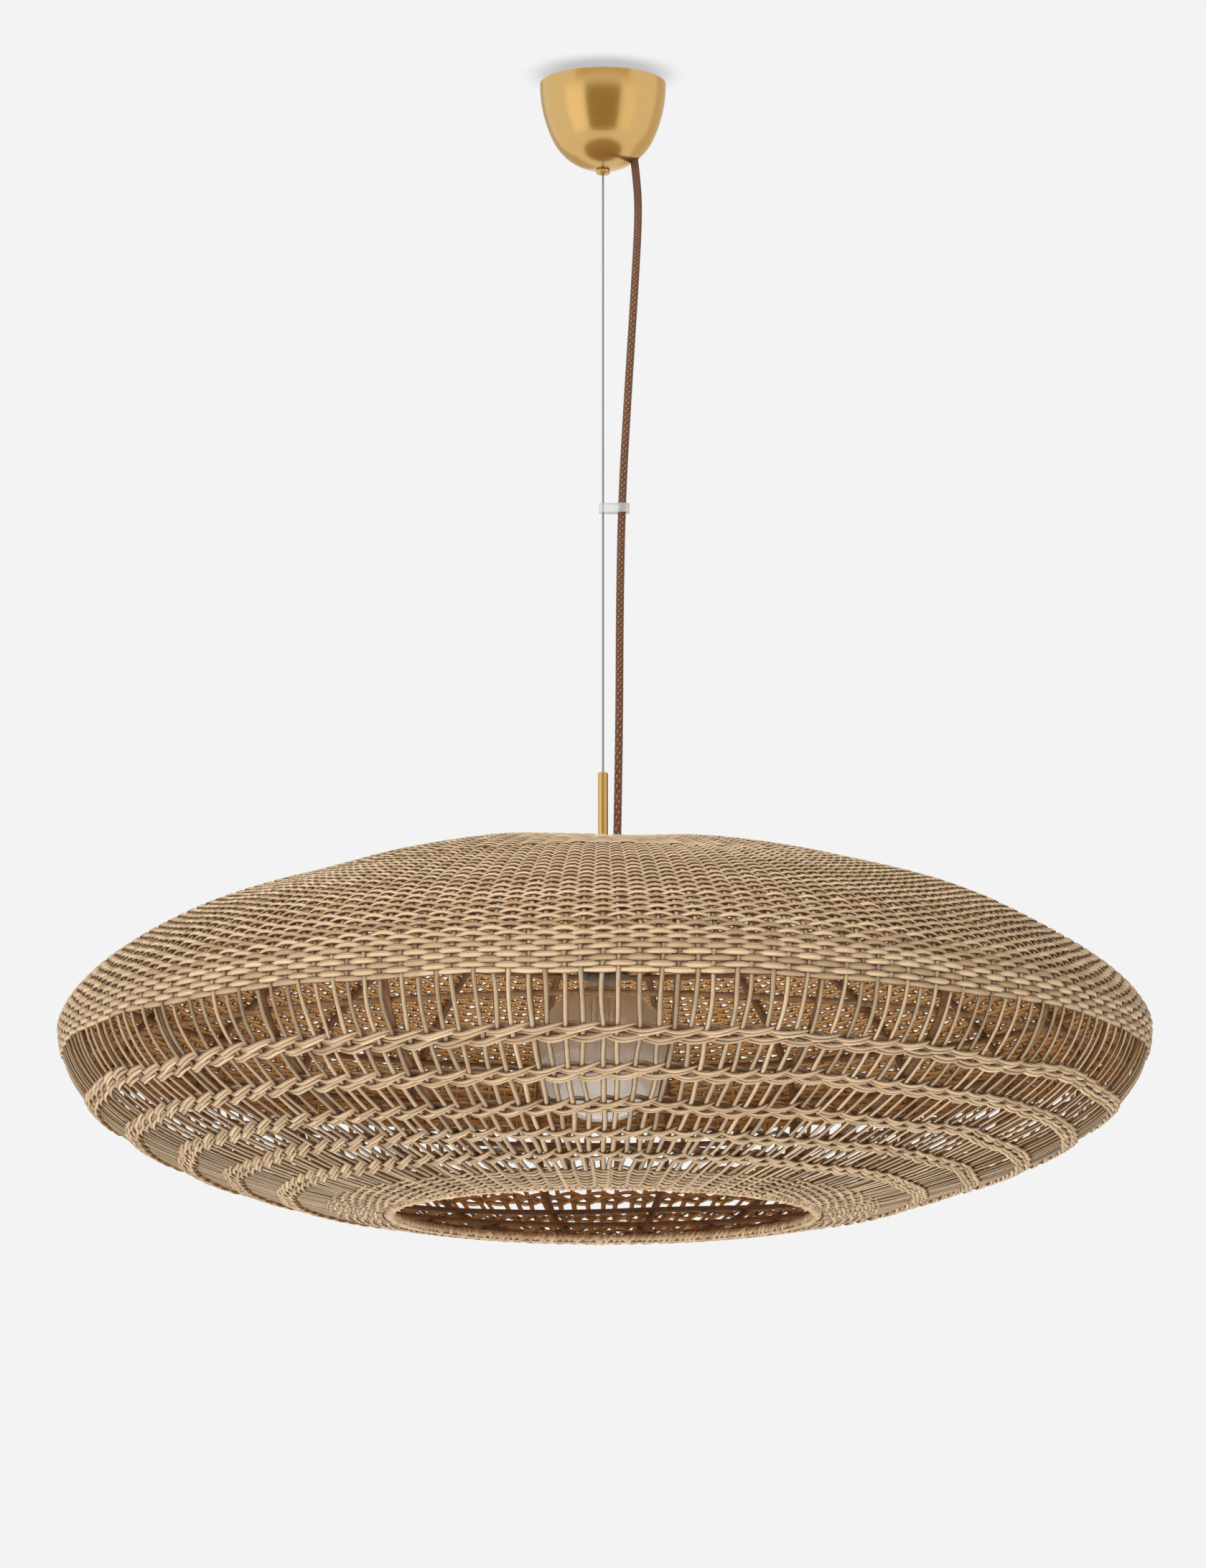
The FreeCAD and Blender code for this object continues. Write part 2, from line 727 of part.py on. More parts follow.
# ---------------------------------------------------------- stem and lampholder
def stem():
    top = "stem_top_drop + stem_cap_height"
    turned("stem_tube", ring_corners(
        "stem_bore_radius", "stem_radius",
        "0 - %s - stem_engagement" % holder_top_drop, "0 - (%s)" % top))
    turned("stem_cap", [
        ("wire_radius + bearing_gap", "0 - stem_cap_height - stem_plug_height"),
        ("stem_bore_radius", "0 - stem_cap_height - stem_plug_height"),
        ("stem_bore_radius", "0 - stem_cap_height"),
        ("stem_radius", "0 - stem_cap_height"),
        ("stem_radius", "0 - stem_cap_height / 2"),
        ("stem_radius - stem_cap_height / 2", "0"),
        ("wire_radius + bearing_gap", "0"),
    ], "stem_top_drop")
    under = "0 - stem_cap_height - stem_plug_height"
    turned("wire_crimp", [
        ("0", under + " - crimp_length"),
        ("crimp_radius", under + " - crimp_length"),
        ("crimp_radius", under),
        ("wire_radius", under),
        ("wire_radius", "0"),
        ("0", "0"),
    ], "stem_top_drop")


def frame_top():
    """The ribs' ends butt on a ring and rest on a spoked disc that two nuts hold on the stem."""
    ring_top = crown_level(value("crown_ring_radius")) - value("weave_thickness + layer_gap")
    depth = value("rib_depth")
    ring = Part.makeCylinder(value("crown_ring_radius"), depth, Vector(0, 0, ring_top - depth))
    hole = Part.makeCylinder(
        value("crown_ring_radius - crown_ring_width"), depth, Vector(0, 0, ring_top - depth))
    add_shape("crown_ring", [ring.cut(hole)])
    return -(ring_top - depth - value("layer_gap"))


def fitter_spider(seat_drop):
    body = new_body("fitter_spider", "%f + spider_thickness" % seat_drop)
    disc = new_sketch(body, "spider_disc")
    draw_circle(disc, "0", "0", "crown_ring_radius")
    draw_circle(disc, "0", "0", "stem_radius + bearing_gap")
    draw_circle(disc, "flex_entry_reach", "0", flex_hole_radius)
    pad(body, disc, "spider_thickness")
    window = new_sketch(body, "spider_window")
    inner = "spider_hub_radius"
    outer = "(crown_ring_radius - spider_rim_width)"
    edge = "(spider_arm_width / 2)"
    near = "sqrt(%s ^ 2 - %s ^ 2)" % (inner, edge)
    far = "sqrt(%s ^ 2 - %s ^ 2)" % (outer, edge)
    draw_outline(window, [
        (near, edge),
        (far, edge, outer),
        (edge, far),
        (edge, near, "0 - " + inner),
    ])
    cut = body.newObject("PartDesign::Pocket", "spider_window_pocket")
    cut.Profile = window
    cut.Reversed = True
    bind(cut, "Length", "spider_thickness")
    doc.recompute()
    polar_pattern(body, cut, "spider_arm_count")


def stem_nuts(seat_drop):
    """A ring nut above and one below the spider."""
    height = value("stem_nut_height")
    below = -seat_drop - value("spider_thickness")
    nuts = []
    for level in (-seat_drop, below - height):
        nut = Part.makeCylinder(value("stem_nut_radius"), height, Vector(0, 0, level))
        bore = Part.makeCylinder(value("stem_radius"), height, Vector(0, 0, level))
        nuts.append(nut.cut(bore))
    add_shape("stem_nuts", nuts)


def lampholder():
    cap = turned("holder_cap", [
        ("stem_radius", "0 - holder_wall"),
        ("holder_cap_radius - holder_wall", "0 - holder_wall"),
        ("holder_cap_radius - holder_wall", "0 - holder_cap_height"),
        ("holder_cap_radius", "0 - holder_cap_height"),
        ("holder_cap_radius", "0 - holder_wall"),
        ("holder_cap_radius - holder_wall", "0"),
        ("stem_radius", "0"),
    ], holder_top_drop)
    entry = new_sketch(cap, "flex_entry", "XY_Plane", "0 - 2 * holder_wall")
    draw_circle(entry, "flex_entry_reach", "0", "flex_radius")
    cut = cap.newObject("PartDesign::Pocket", "flex_entry_pocket")
    cut.Profile = entry
    cut.Reversed = True
    bind(cut, "Length", "2 * holder_wall")
    turned("holder_body", [
        ("holder_body_radius - holder_wall", "0 - holder_body_height"),
        ("holder_body_radius", "0 - holder_body_height"),
        ("holder_body_radius", "holder_wall"),
        ("holder_cap_radius", "holder_wall"),
        ("holder_cap_radius", "0"),
        ("holder_body_radius - holder_wall", "0"),
    ], holder_seat_drop)
    turned("holder_ring", [
        ("screw_shell_radius + bearing_gap", "0 - holder_ring_height"),
        ("holder_ring_radius", "0 - holder_ring_height"),
        ("holder_ring_radius", "holder_wall"),
        ("holder_body_radius", "holder_wall"),
        ("holder_body_radius", "0"),
        ("screw_shell_radius + bearing_gap", "0"),
    ], holder_ring_drop)
    body = turned("holder_insert", [
        ("0", "0"),
        ("holder_cap_radius - holder_wall", "0"),
        ("holder_cap_radius - holder_wall", "insert_height"),
        ("0", "insert_height"),
    ], holder_seat_drop)
    ways = new_sketch(body, "insert_ways")
    draw_circle(ways, "0", "screw_shell_radius - contact_height", "contact_height")
    draw_circle(ways, "0", "contact_height - screw_shell_radius", "contact_height")
    pocket_through(body, ways)
    turned("screw_shell", ring_corners(
        "screw_shell_radius - screw_shell_wall", "screw_shell_radius",
        "0 - holder_body_height - holder_ring_height / 2", "0"), holder_seat_drop)
    contact = ring_corners("0", "contact_radius", "0 - contact_height", "0")
    turned("centre_contact", contact, holder_seat_drop)


def bulb():
    collar = "(%s + bulb_neck_length)" % bulb_join
    inner = "(bulb_radius - bulb_glass_wall)"
    neck_inside = "(bulb_neck_radius - bulb_glass_wall)"
    inner_join = "sqrt(%s ^ 2 - %s ^ 2)" % (inner, neck_inside)
    turned("bulb_glass", [
        ("0", "0 - bulb_radius", "bulb_radius"),
        ("bulb_radius", "0", "bulb_radius"),
        ("bulb_neck_radius", bulb_join),
        ("bulb_collar_radius", collar),
        ("bulb_collar_radius - bulb_glass_wall", collar),
        (neck_inside, inner_join, "0 - " + inner),
        (inner, "0", "0 - " + inner),
        ("0", "0 - " + inner),
    ], bulb_centre_drop)
    turned("bulb_cap", [
        ("0", "0"),
        ("bulb_cap_radius", "0"),
        ("bulb_cap_radius", "bulb_cap_height - bulb_tip_height"),
        ("bulb_tip_radius", "bulb_cap_height"),
        ("0", "bulb_cap_height"),
    ], bulb_collar_drop)
    turned("bulb_mount", [
        ("0", "0 - mount_length"),
        ("mount_rod_radius", "0 - mount_length"),
        ("mount_rod_radius", "0 - 2 * mount_flare_radius"),
        ("mount_flare_radius", "0"),
        ("0", "0"),
    ], bulb_collar_drop)


def bulb_filaments():
    """Upright filaments round the glass mount, each on two thin wires."""
    top = -value(bulb_collar_drop) - value("filament_drop") + value("filament_length")
    reach = value("filament_circle_radius")
    length = value("filament_length")
    count = int(value("filament_count"))
    across = value("filament_thickness")
    wire = value("filament_wire")
    start = value("mount_rod_radius")
    strip = Part.makeBox(across, across, length, Vector(reach, -across / 2, top - length))
    for level in (top - wire, top - length):
        lead = Part.makeBox(reach - start, wire, wire, Vector(start, -wire / 2, level))
        strip = strip.fuse(lead)
    add_shape("bulb_filaments", [spun(strip, 360.0 * k / count) for k in range(count)])


# ------------------------------------------------------------- shade's outline
def crown_level(radius):
    """Height of the crown's outer face at a radius."""
    share = 1 - (radius / value("shade_radius")) ** value("crown_spread")
    return value("crown_rise") * share ** (1 / value("crown_roundness")) - value(equator_drop)


def crown_reach(height):
    """Radius of the crown's outer face at a height above the widest line."""
    share = 1 - (height / value("crown_rise")) ** value("crown_roundness")
    return value("shade_radius") * share ** (1 / value("crown_spread"))


def bowl_reach(depth):
    """Radius of the bowl's outer face at a depth below the widest line."""
    share = 1 - (depth / value("bowl_depth")) ** value("bowl_roundness")
    return value("shade_radius") * share ** (1 / value("bowl_spread"))


def bowl_depth_at(radius):
    """Depth of the bowl's outer face below the widest line at a radius."""
    share = 1 - (radius / value("shade_radius")) ** value("bowl_spread")
    return value("bowl_depth") * share ** (1 / value("bowl_roundness"))


def outer_point(depth):
    """Point (radius, z) of the outer face at a depth below the widest line."""
    reach = bowl_reach(depth) if depth >= 0 else crown_reach(-depth)
    return Vector(reach, 0, -value(equator_drop) - depth)


def outward(depth):
    """Normal of the outer face, in the radius and z plane."""
    step = 0.01
    along = outer_point(depth + step) - outer_point(depth - step)
    return Vector(-along.z, 0, along.x).normalize()


def layer_point(depth, inset):
    return outer_point(depth) - outward(depth) * inset


band_reach = [
    value("rim_radius + band_share_%d * (shade_radius - rim_radius)" % number)
    for number in range(1, 6)
]
border_reach = value("rim_radius + rim_wrap_radius + border_gap + border_width / 2")

# Shares of the crown's rise at the outline's corners; they close up towards the shoulder.
crown_corners = [-value("crown_rise") * share for share in (0.91, 0.76, 0.55, 0.33, 0.135, 0)]
# In the bowl they lie between the twined bands, so that each band is flat.
bowl_corners = [
    bowl_depth_at((value("shade_radius") + band_reach[0]) / 2),
    bowl_depth_at((band_reach[0] + band_reach[1]) / 2),
    bowl_depth_at((band_reach[2] + band_reach[3]) / 2),
    bowl_depth_at((band_reach[4] + border_reach + value("border_width / 2")) / 2),
]


def layer_line(depths, inset):
    return [layer_point(depth, inset) for depth in depths]


def flat_bar(line, back, width):
    """Bar that follows a line in the XZ plane, back to the points of a second line."""
    outline = Part.makePolygon(line + back[::-1] + [line[0]])
    blade = Part.Face(outline).extrude(Vector(0, width, 0))
    return moved(blade, Vector(0, -width / 2, 0))


def facet_ring(section, sides, first=0):
    """Ring of straight sides, as cane or rod runs from stake to stake, from its section."""
    step = 360.0 / sides
    faces = []
    for number in range(sides):
        here = Rotation(Vector(0, 0, 1), first + number * step)
        there = Rotation(Vector(0, 0, 1), first + (number + 1) * step)
        for near, far in zip(section, section[1:] + section[:1]):
            corners = [here * near, there * near, there * far, here * far]
            faces.append(Part.Face(Part.makePolygon(corners + corners[:1])))
    return Part.Solid(Part.makeShell(faces))


def walked(line, reach):
    """Point at a reach along a line of corners."""
    for near, far in zip(line, line[1:]):
        step = far - near
        if reach <= step.Length:
            return near + step * (reach / step.Length)
        reach -= step.Length
    return line[-1]


def laid_ring(node, line, depth, width, thickness, sides, first=0):
    """Flat ring so wide, laid behind a line of corners and centred on a depth."""
    level = -value(equator_drop) - depth
    after = next(k for k, spot in enumerate(line) if spot.z <= level)
    upper = line[after - 1]
    lower = line[after]
    middle = upper + (lower - upper) * ((upper.z - level) / (upper.z - lower.z))
    top = walked([middle] + line[:after][::-1], width / 2)
    foot = walked([middle] + line[after:], width / 2)
    inward = Vector((foot - top).z, 0, -(foot - top).x).normalize() * thickness
    add_shape(node, [facet_ring([top, foot, foot + inward, top + inward], sides, first)])


def woven_shade():
    sides = int(value("weave_sides"))
    edge = value("crown_edge_depth")
    weave = value("weave_thickness")
    under = weave + value("layer_gap")
    hole_depth = -value(equator_drop) - crown_level(value("crown_hole_radius"))
    ring_depth = -value(equator_drop) - crown_level(value("crown_ring_radius + 2 * layer_gap"))
    crown = [hole_depth, ring_depth] + crown_corners + [edge]
    section = layer_line(crown, 0) + layer_line(crown, weave)[::-1]
    add_shape("woven_crown", [facet_ring(section, sides)])

    run = [ring_depth] + crown_corners + [edge] + bowl_corners + [rim_depth()]
    behind = under + value("rib_depth")
    rib = flat_bar(layer_line(run, under), layer_line(run, behind), value("rib_width"))
    ribs = int(value("rib_count"))
    sector = 360.0 / ribs
    add_shape("frame_ribs", [spun(rib, (k + 0.5) * sector) for k in range(ribs)])

    # Half of the stakes stand behind the middle of a straight side, so they lie that much deeper.
    open_run = [0.0, edge] + bowl_corners + [rim_depth()]
    slack = 1 - math.cos(math.pi / sides)
    front = [layer_point(d, under + outer_point(d).x * slack) for d in open_run]
    back = [
        layer_point(d, under + outer_point(d).x * slack + value("stake_thickness"))
        for d in open_run
    ]
    stake = flat_bar(front, back, value("stake_width"))
    places = int(value("stakes_per_rib")) + 1
    angles = [(k + 0.5 + j / places) * sector for k in range(ribs) for j in range(1, places)]
    add_shape("weave_stakes", [spun(stake, angle) for angle in angles])

    face = layer_line(run, 0)
    for number, reach in enumerate(band_reach, start=1):
        depth = bowl_depth_at(reach)
        laid_ring("twined_band_%d" % number, face, depth, value("band_width"), weave, sides)
    depth = bowl_depth_at(border_reach)
    laid_ring("border_band", face, depth, value("border_width"), weave, sides)

    inside = layer_line(run, behind + value("layer_gap"))
    for name in ("crown_hoop", "shoulder_hoop", "equator_hoop", "belly_hoop", "lower_hoop",
                 "mouth_hoop"):
        share = value(name + "_share")
        depth = share * value("bowl_depth" if share > 0 else "crown_rise")
        laid_ring(
            name, inside, depth, value("hoop_width"), value("hoop_thickness"), ribs, sector / 2)


def rim_level():
    """Height of the rim's centre, where the wrapped rim just meets the outer face."""
    depth = bowl_depth_at(value("rim_radius"))
    return value("rim_wrap_radius") - value(equator_drop) - depth


def rim_depth():
    """Depth at which the stakes and ribs stop, against the wrapped rim."""
    return bowl_depth_at(value("rim_radius + rim_wrap_radius + layer_gap + rim_stop_gap"))


def rim_section(size, corners):
    """Section with so many corners and flats at a size from the rim's centre line."""
    radius = value("rim_radius")
    level = rim_level()
    reach = size / math.cos(math.pi / corners)
    turns = [2 * math.pi * (k + 0.5) / corners for k in range(corners)]
    return [Vector(radius + reach * math.cos(a), 0, level + reach * math.sin(a)) for a in turns]


def shade_rim():
    sides = int(value("weave_sides"))
    core = value("rim_hoop_radius")
    core_sides = int(value("rim_hoop_sides"))
    wrap = facet_ring(rim_section(value("rim_wrap_radius"), int(value("rim_sides"))), sides)
    room = facet_ring(rim_section(core + value("bearing_gap"), core_sides), sides)
    add_shape("rim_wrap", [wrap.cut(room)])
    add_shape("rim_hoop", [facet_ring(rim_section(core, core_sides), sides)])


# ------------------------------------------------------------------ the pendant
ceiling_plate()
canopy_cup()
outlet_tube()
outlet_nut()
swivel_bush()
hoist_frame()
frame_rivets()
hoist_axle()
cable_drum()
mainspring()
straight_wire("inner_wire", "wire_lead_drop", "%s - wire_end_gap" % ball_drop)
straight_wire("suspension_wire", ball_drop, "stem_top_drop")
flexes()
terminal_block()
cord_clamp()
cord_clip()
stem()
spider_seat = frame_top()
fitter_spider(spider_seat)
stem_nuts(spider_seat)
lampholder()
bulb()
bulb_filaments()
woven_shade()
shade_rim()
doc.recompute()

# --------------------------------------------------------------- check and write
for item in doc.Objects:
    if "Invalid" in item.State or "Error" in item.State:
        raise RuntimeError("%s failed: %s" % (item.Label, item.State))
for node, item in nodes.items():
    if item.Shape.isNull() or not item.Shape.isValid() or not item.Shape.Solids:
        raise RuntimeError("%s has no valid solid" % node)

os.makedirs("parts", exist_ok=True)
for node, item in nodes.items():
    item.Shape.exportStep("parts/%s.step" % node)
print("%d nodes, %d solids" % (len(nodes), sum(len(n.Shape.Solids) for n in nodes.values())))
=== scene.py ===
import json
import math
import random
from bisect import bisect_left
from itertools import product

import bmesh
import bpy
from mathutils import Matrix, Vector, noise


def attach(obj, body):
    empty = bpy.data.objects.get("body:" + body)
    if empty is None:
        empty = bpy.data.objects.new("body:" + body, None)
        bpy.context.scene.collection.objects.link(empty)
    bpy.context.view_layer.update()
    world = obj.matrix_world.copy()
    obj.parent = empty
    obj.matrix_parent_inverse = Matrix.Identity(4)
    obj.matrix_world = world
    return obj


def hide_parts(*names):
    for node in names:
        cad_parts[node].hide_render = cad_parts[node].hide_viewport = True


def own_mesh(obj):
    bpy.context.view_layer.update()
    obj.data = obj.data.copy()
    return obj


# Rise and fall pendant, metres, in the CAD model's frame: the ceiling is at height 0
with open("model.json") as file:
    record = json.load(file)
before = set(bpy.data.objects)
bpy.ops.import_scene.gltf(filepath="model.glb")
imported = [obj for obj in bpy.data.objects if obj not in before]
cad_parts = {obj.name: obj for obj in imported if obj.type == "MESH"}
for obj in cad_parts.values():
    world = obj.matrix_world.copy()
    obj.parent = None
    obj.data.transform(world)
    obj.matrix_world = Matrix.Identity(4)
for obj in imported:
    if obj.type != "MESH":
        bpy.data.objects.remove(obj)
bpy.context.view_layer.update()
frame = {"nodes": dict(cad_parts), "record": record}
scene = bpy.context.scene
random.seed(7)

# camera, found from the cup's, the shade's and the mouth's ellipses in the photo
cameraSet = {"place": (0, -6.5, -1.8972), "tilt": 100.72, "lens": 165.2, "sensor": 36, "reach": 60}

camera = bpy.data.objects.new("camera", bpy.data.cameras.new("camera"))
camera.data.lens = cameraSet["lens"]
camera.data.sensor_width = cameraSet["sensor"]
camera.data.clip_end = cameraSet["reach"]
camera.location = cameraSet["place"]
camera.rotation_euler = (math.radians(cameraSet["tilt"]), 0, 0)
scene.collection.objects.link(camera)
scene.camera = camera
scene.view_settings.view_transform = "Standard"
print("camera set")


# small helpers for nodes
def feed(tree, socket, value):  # a link, a number, or a colour, which gets its fourth value here
    if isinstance(value, bpy.types.NodeSocket):
        tree.links.new(value, socket)
    elif socket.type == "RGBA":
        socket.default_value = (*value, 1)
    else:
        socket.default_value = value


def addNode(tree, kind, inputs=None, **settings):
    node = tree.nodes.new(kind)
    for name, value in settings.items():
        setattr(node, name, value)
    for key, value in (inputs or {}).items():
        feed(tree, node.inputs[key], value)
    return node


def mathNode(tree, operation, first, second=0.0):
    return addNode(tree, "ShaderNodeMath", {0: first, 1: second}, operation=operation).outputs[0]


def plus(tree, first, second):
    return mathNode(tree, "ADD", first, second)


def times(tree, first, second):
    return mathNode(tree, "MULTIPLY", first, second)


def mixColour(tree, factor, first, second):
    return addNode(tree, "ShaderNodeMix", {0: factor, 6: first, 7: second}, data_type="RGBA").outputs[2]


def splitNode(tree, vector):
    return addNode(tree, "ShaderNodeSeparateXYZ", {0: vector}).outputs


def strandMap(tree):  # the map that a strand's mesh brings with it: along it, and round it
    return addNode(tree, "ShaderNodeUVMap", uv_map="strand").outputs[0]


def attributeNode(tree, name):
    return addNode(tree, "ShaderNodeAttribute", attribute_name=name).outputs["Fac"]


def objectPlace(tree):
    return addNode(tree, "ShaderNodeTexCoord").outputs["Object"]


def grainNode(tree, place, scale, detail):
    return addNode(tree, "ShaderNodeTexNoise", {"Vector": place, "Scale": scale, "Detail": detail}).outputs[0]


def addBump(tree, shader, height, relief, strength):
    bump = addNode(tree, "ShaderNodeBump", {"Height": height, "Distance": relief, "Strength": strength})
    tree.links.new(bump.outputs[0], shader["Normal"])


def newGroup(name, inputs, outputs):
    tree = bpy.data.node_groups.new(name, "ShaderNodeTree")
    for label, kind, value in inputs:
        socket = tree.interface.new_socket(label, in_out="INPUT", socket_type=kind)
        if value is not None:
            socket.default_value = value
    for label, kind in outputs:
        tree.interface.new_socket(label, in_out="OUTPUT", socket_type=kind)
    return tree, tree.nodes.new("NodeGroupInput").outputs, tree.nodes.new("NodeGroupOutput").inputs


def newMaterial(name, rough=0.5, metal=0.0, colour=(0.5, 0.5, 0.5)):
    material = bpy.data.materials.new(name)
    material.use_nodes = True
    tree = material.node_tree
    shader = tree.nodes["Principled BSDF"].inputs
    feed(tree, shader["Base Color"], colour)
    shader["Roughness"].default_value = rough
    shader["Metallic"].default_value = metal
    return material, tree, shader


floatKind, colourKind, vectorKind = "NodeSocketFloat", "NodeSocketColor", "NodeSocketVector"
halfTurn, fullTurn, twoTurns = 3.1416, 6.2832, 12.566  # in radians, for the shaders

# cane: streaks and grooves along a strand, painted shade in the grooves and on the edges that turn away, and
# bare pith on its inner face that also stands in for the warm light inside the shade
caneGrain = {
    "across": 14.0, "apart": 40.0, "blotch": 55.0, "detail": 3.0, "toneShare": 0.62, "grainShare": 0.42,
    "low": 0.25, "high": 1.05, "innerSlope": 2.0, "innerStart": 0.2, "innerShare": 0.95,
    "grooveShadeColour": (0.15, 0.08, 0.03), "grooveShadeSharp": 6.0, "grooveShadeShare": 0.5,
    "edgeShadeColour": (0.035, 0.018, 0.009), "edgeShadeSharp": 4.5, "rough": 0.42, "roughSpread": 0.25,
    "streakHeight": 0.4, "grooveRound": 2.0, "bump": 0.6,
}


def makeCaneGroup():
    tree, given, out = newGroup(
        "cane strand",
        [("Map", vectorKind, None), ("Tone", floatKind, 0.5), ("Pale", colourKind, None),
         ("Dark", colourKind, None), ("PithAndGlow", colourKind, None), ("Grooves", floatKind, 3.0),
         ("Streaks", floatKind, 300.0), ("EdgeShade", floatKind, 0.6)],
        [("Color", colourKind), ("Roughness", floatKind), ("Height", floatKind)])
    split = splitNode(tree, given["Map"])
    along, around = split[0], split[1]
    ridges = times(tree, around, times(tree, given["Grooves"], twoTurns))
    groove = times(tree, plus(tree, mathNode(tree, "SINE", ridges), 1.0), 0.5)
    stretched = addNode(tree, "ShaderNodeCombineXYZ", {
        0: times(tree, along, given["Streaks"]), 1: times(tree, around, caneGrain["across"]),
        2: times(tree, given["Tone"], caneGrain["apart"])}).outputs[0]
    streak = grainNode(tree, stretched, 1.0, caneGrain["detail"])
    blotch = grainNode(tree, objectPlace(tree), caneGrain["blotch"], caneGrain["detail"])
    mixed = plus(tree, times(tree, given["Tone"], caneGrain["toneShare"]),
                 times(tree, plus(tree, streak, blotch), caneGrain["grainShare"]))
    spread = addNode(tree, "ShaderNodeMapRange", {
        "Value": mixed, "From Min": caneGrain["low"], "From Max": caneGrain["high"]}).outputs[0]
    colour = mixColour(tree, spread, given["Dark"], given["Pale"])

    pithAndGlowSide = times(tree, mathNode(tree, "SINE", times(tree, around, -fullTurn)), caneGrain["innerSlope"])
    pithAndGlowSide = plus(tree, pithAndGlowSide, caneGrain["innerStart"])  # the side that faces the bulb: bare pith, painted paler and warmer to stand in for the light that glows inside the shade
    pithAndGlowSide = addNode(tree, "ShaderNodeClamp", {"Value": pithAndGlowSide}).outputs[0]
    colour = mixColour(tree, times(tree, pithAndGlowSide, caneGrain["innerShare"]), colour, given["PithAndGlow"])

    # painted shade: the grooves are darkened where they dip in
    dark = times(tree, mathNode(tree, "POWER", groove, caneGrain["grooveShadeSharp"]), caneGrain["grooveShadeShare"])
    colour = mixColour(tree, dark, colour, caneGrain["grooveShadeColour"])
    # painted shade: the strand's edges, which turn away from the light, are darkened almost to black
    edge = mathNode(tree, "ABSOLUTE", mathNode(tree, "COSINE", times(tree, around, fullTurn)))
    edge = times(tree, mathNode(tree, "POWER", edge, caneGrain["edgeShadeSharp"]), given["EdgeShade"])
    colour = mixColour(tree, edge, colour, caneGrain["edgeShadeColour"])

    rough = plus(tree, times(tree, streak, caneGrain["roughSpread"]), caneGrain["rough"])
    height = mathNode(tree, "SUBTRACT", times(tree, streak, caneGrain["streakHeight"]),
                      mathNode(tree, "POWER", groove, caneGrain["grooveRound"]))
    tree.links.new(colour, out["Color"])
    tree.links.new(rough, out["Roughness"])
    tree.links.new(height, out["Height"])
    return tree


caneGroup = makeCaneGroup()


def caneMaterial(name, look):
    material, tree, shader = newMaterial(name)
    got = addNode(tree, "ShaderNodeGroup", {
        "Map": strandMap(tree), "Tone": attributeNode(tree, "tone"), "Pale": look["pale"],
        "Dark": look["dark"], "PithAndGlow": look["pithAndGlow"], "Grooves": look["grooves"],
        "Streaks": look["streaks"], "EdgeShade": look["edge"]}, node_tree=caneGroup).outputs
    tree.links.new(got["Color"], shader["Base Color"])
    tree.links.new(got["Roughness"], shader["Roughness"])
    addBump(tree, shader, got["Height"], look["relief"], caneGrain["bump"])
    return material


# the shade's outline: two half ovals that meet at the widest line
shade = {"radius": 0.5, "middle": -0.8972, "rise": 0.1664, "riseRound": 1.56, "riseSpread": 2.1,
         "depth": 0.1861, "depthRound": 2.3, "depthSpread": 1.91, "rimReach": 0.2011}

# dents: the handmade shade lies a few millimetres inside or outside its outline
dents = {"depth": 0.0032, "firm": 0.07, "base": 0.3, "spread": 1.5, "round": 2.6, "along": 7}
slopeSteps = 6  # how far to each side of a spot the outline's slope is measured


def outlineAt(turn):
    across = max(0.0, math.cos(turn))
    if turn >= 0:
        return Vector((shade["radius"] * across ** (2 / shade["riseSpread"]),
                       shade["rise"] * math.sin(turn) ** (2 / shade["riseRound"])))
    return Vector((shade["radius"] * across ** (2 / shade["depthSpread"]),
                   -shade["depth"] * math.sin(-turn) ** (2 / shade["depthRound"])))


def walkOutline(steps=6000):
    spots = [outlineAt(math.pi * (0.5 - k / steps)) for k in range(steps + 1)]
    arcs = [0.0]
    for near, far in zip(spots, spots[1:]):
        arcs.append(arcs[-1] + (far - near).length)
    return arcs, spots


arcs, spots = walkOutline()
widestArc = arcs[len(arcs) // 2]


def arcAtReach(reach, below=False):  # way along the outline, from the top, to a radius
    half = len(spots) // 2
    span = range(half, len(spots)) if below else range(half, -1, -1)
    return arcs[next(k for k in span if spots[k].x <= reach)]


def arcAtLevel(level):  # the same, to a height above or below the widest line
    return next(arc for arc, spot in zip(arcs, spots) if spot.y <= level)


rimArc = arcAtReach(shade["rimReach"], True)


def dentAt(arc, angle):  # how far inside; nothing near the top and near the rim
    firm = dents["firm"]
    fade = min(1.0, max(0.0, (arc - firm) / firm), max(0.0, (rimArc - firm - arc) / firm))
    place = (dents["round"] * math.cos(angle), dents["round"] * math.sin(angle), arc * dents["along"])
    return dents["depth"] * fade * (dents["base"] + dents["spread"] * noise.noise(place))


def onShade(arc, inset, angle):  # a place in space, and how steep the surface is there
    index = min(max(bisect_left(arcs, arc), slopeSteps), len(arcs) - slopeSteps - 1)
    along = (spots[index + slopeSteps] - spots[index - slopeSteps]).normalized()
    inset += dentAt(arc, angle)
    spot = spots[index] + Vector((along.y, -along.x)) * inset
    place = (spot.x * math.cos(angle), spot.x * math.sin(angle), shade["middle"] + spot.y)
    return place, math.atan2(along.x, -along.y)


# strands: NURBS splines with a flat section of six corners, made into meshes
caneCorners = [(0, -0.5), (0.5, -0.26), (0.5, 0.26), (0, 0.5), (-0.5, 0.26), (-0.5, -0.26)]
caneSizes = {"strand": (0.0015, 0.0048), "fine": (0.0019, 0.0038), "band": (0.0020, 0.0044),
             "stake": (0.0049, 0.0022)}
caneLength = 22  # stakes that a cane passes, from half of this to twice as many, before the next starts


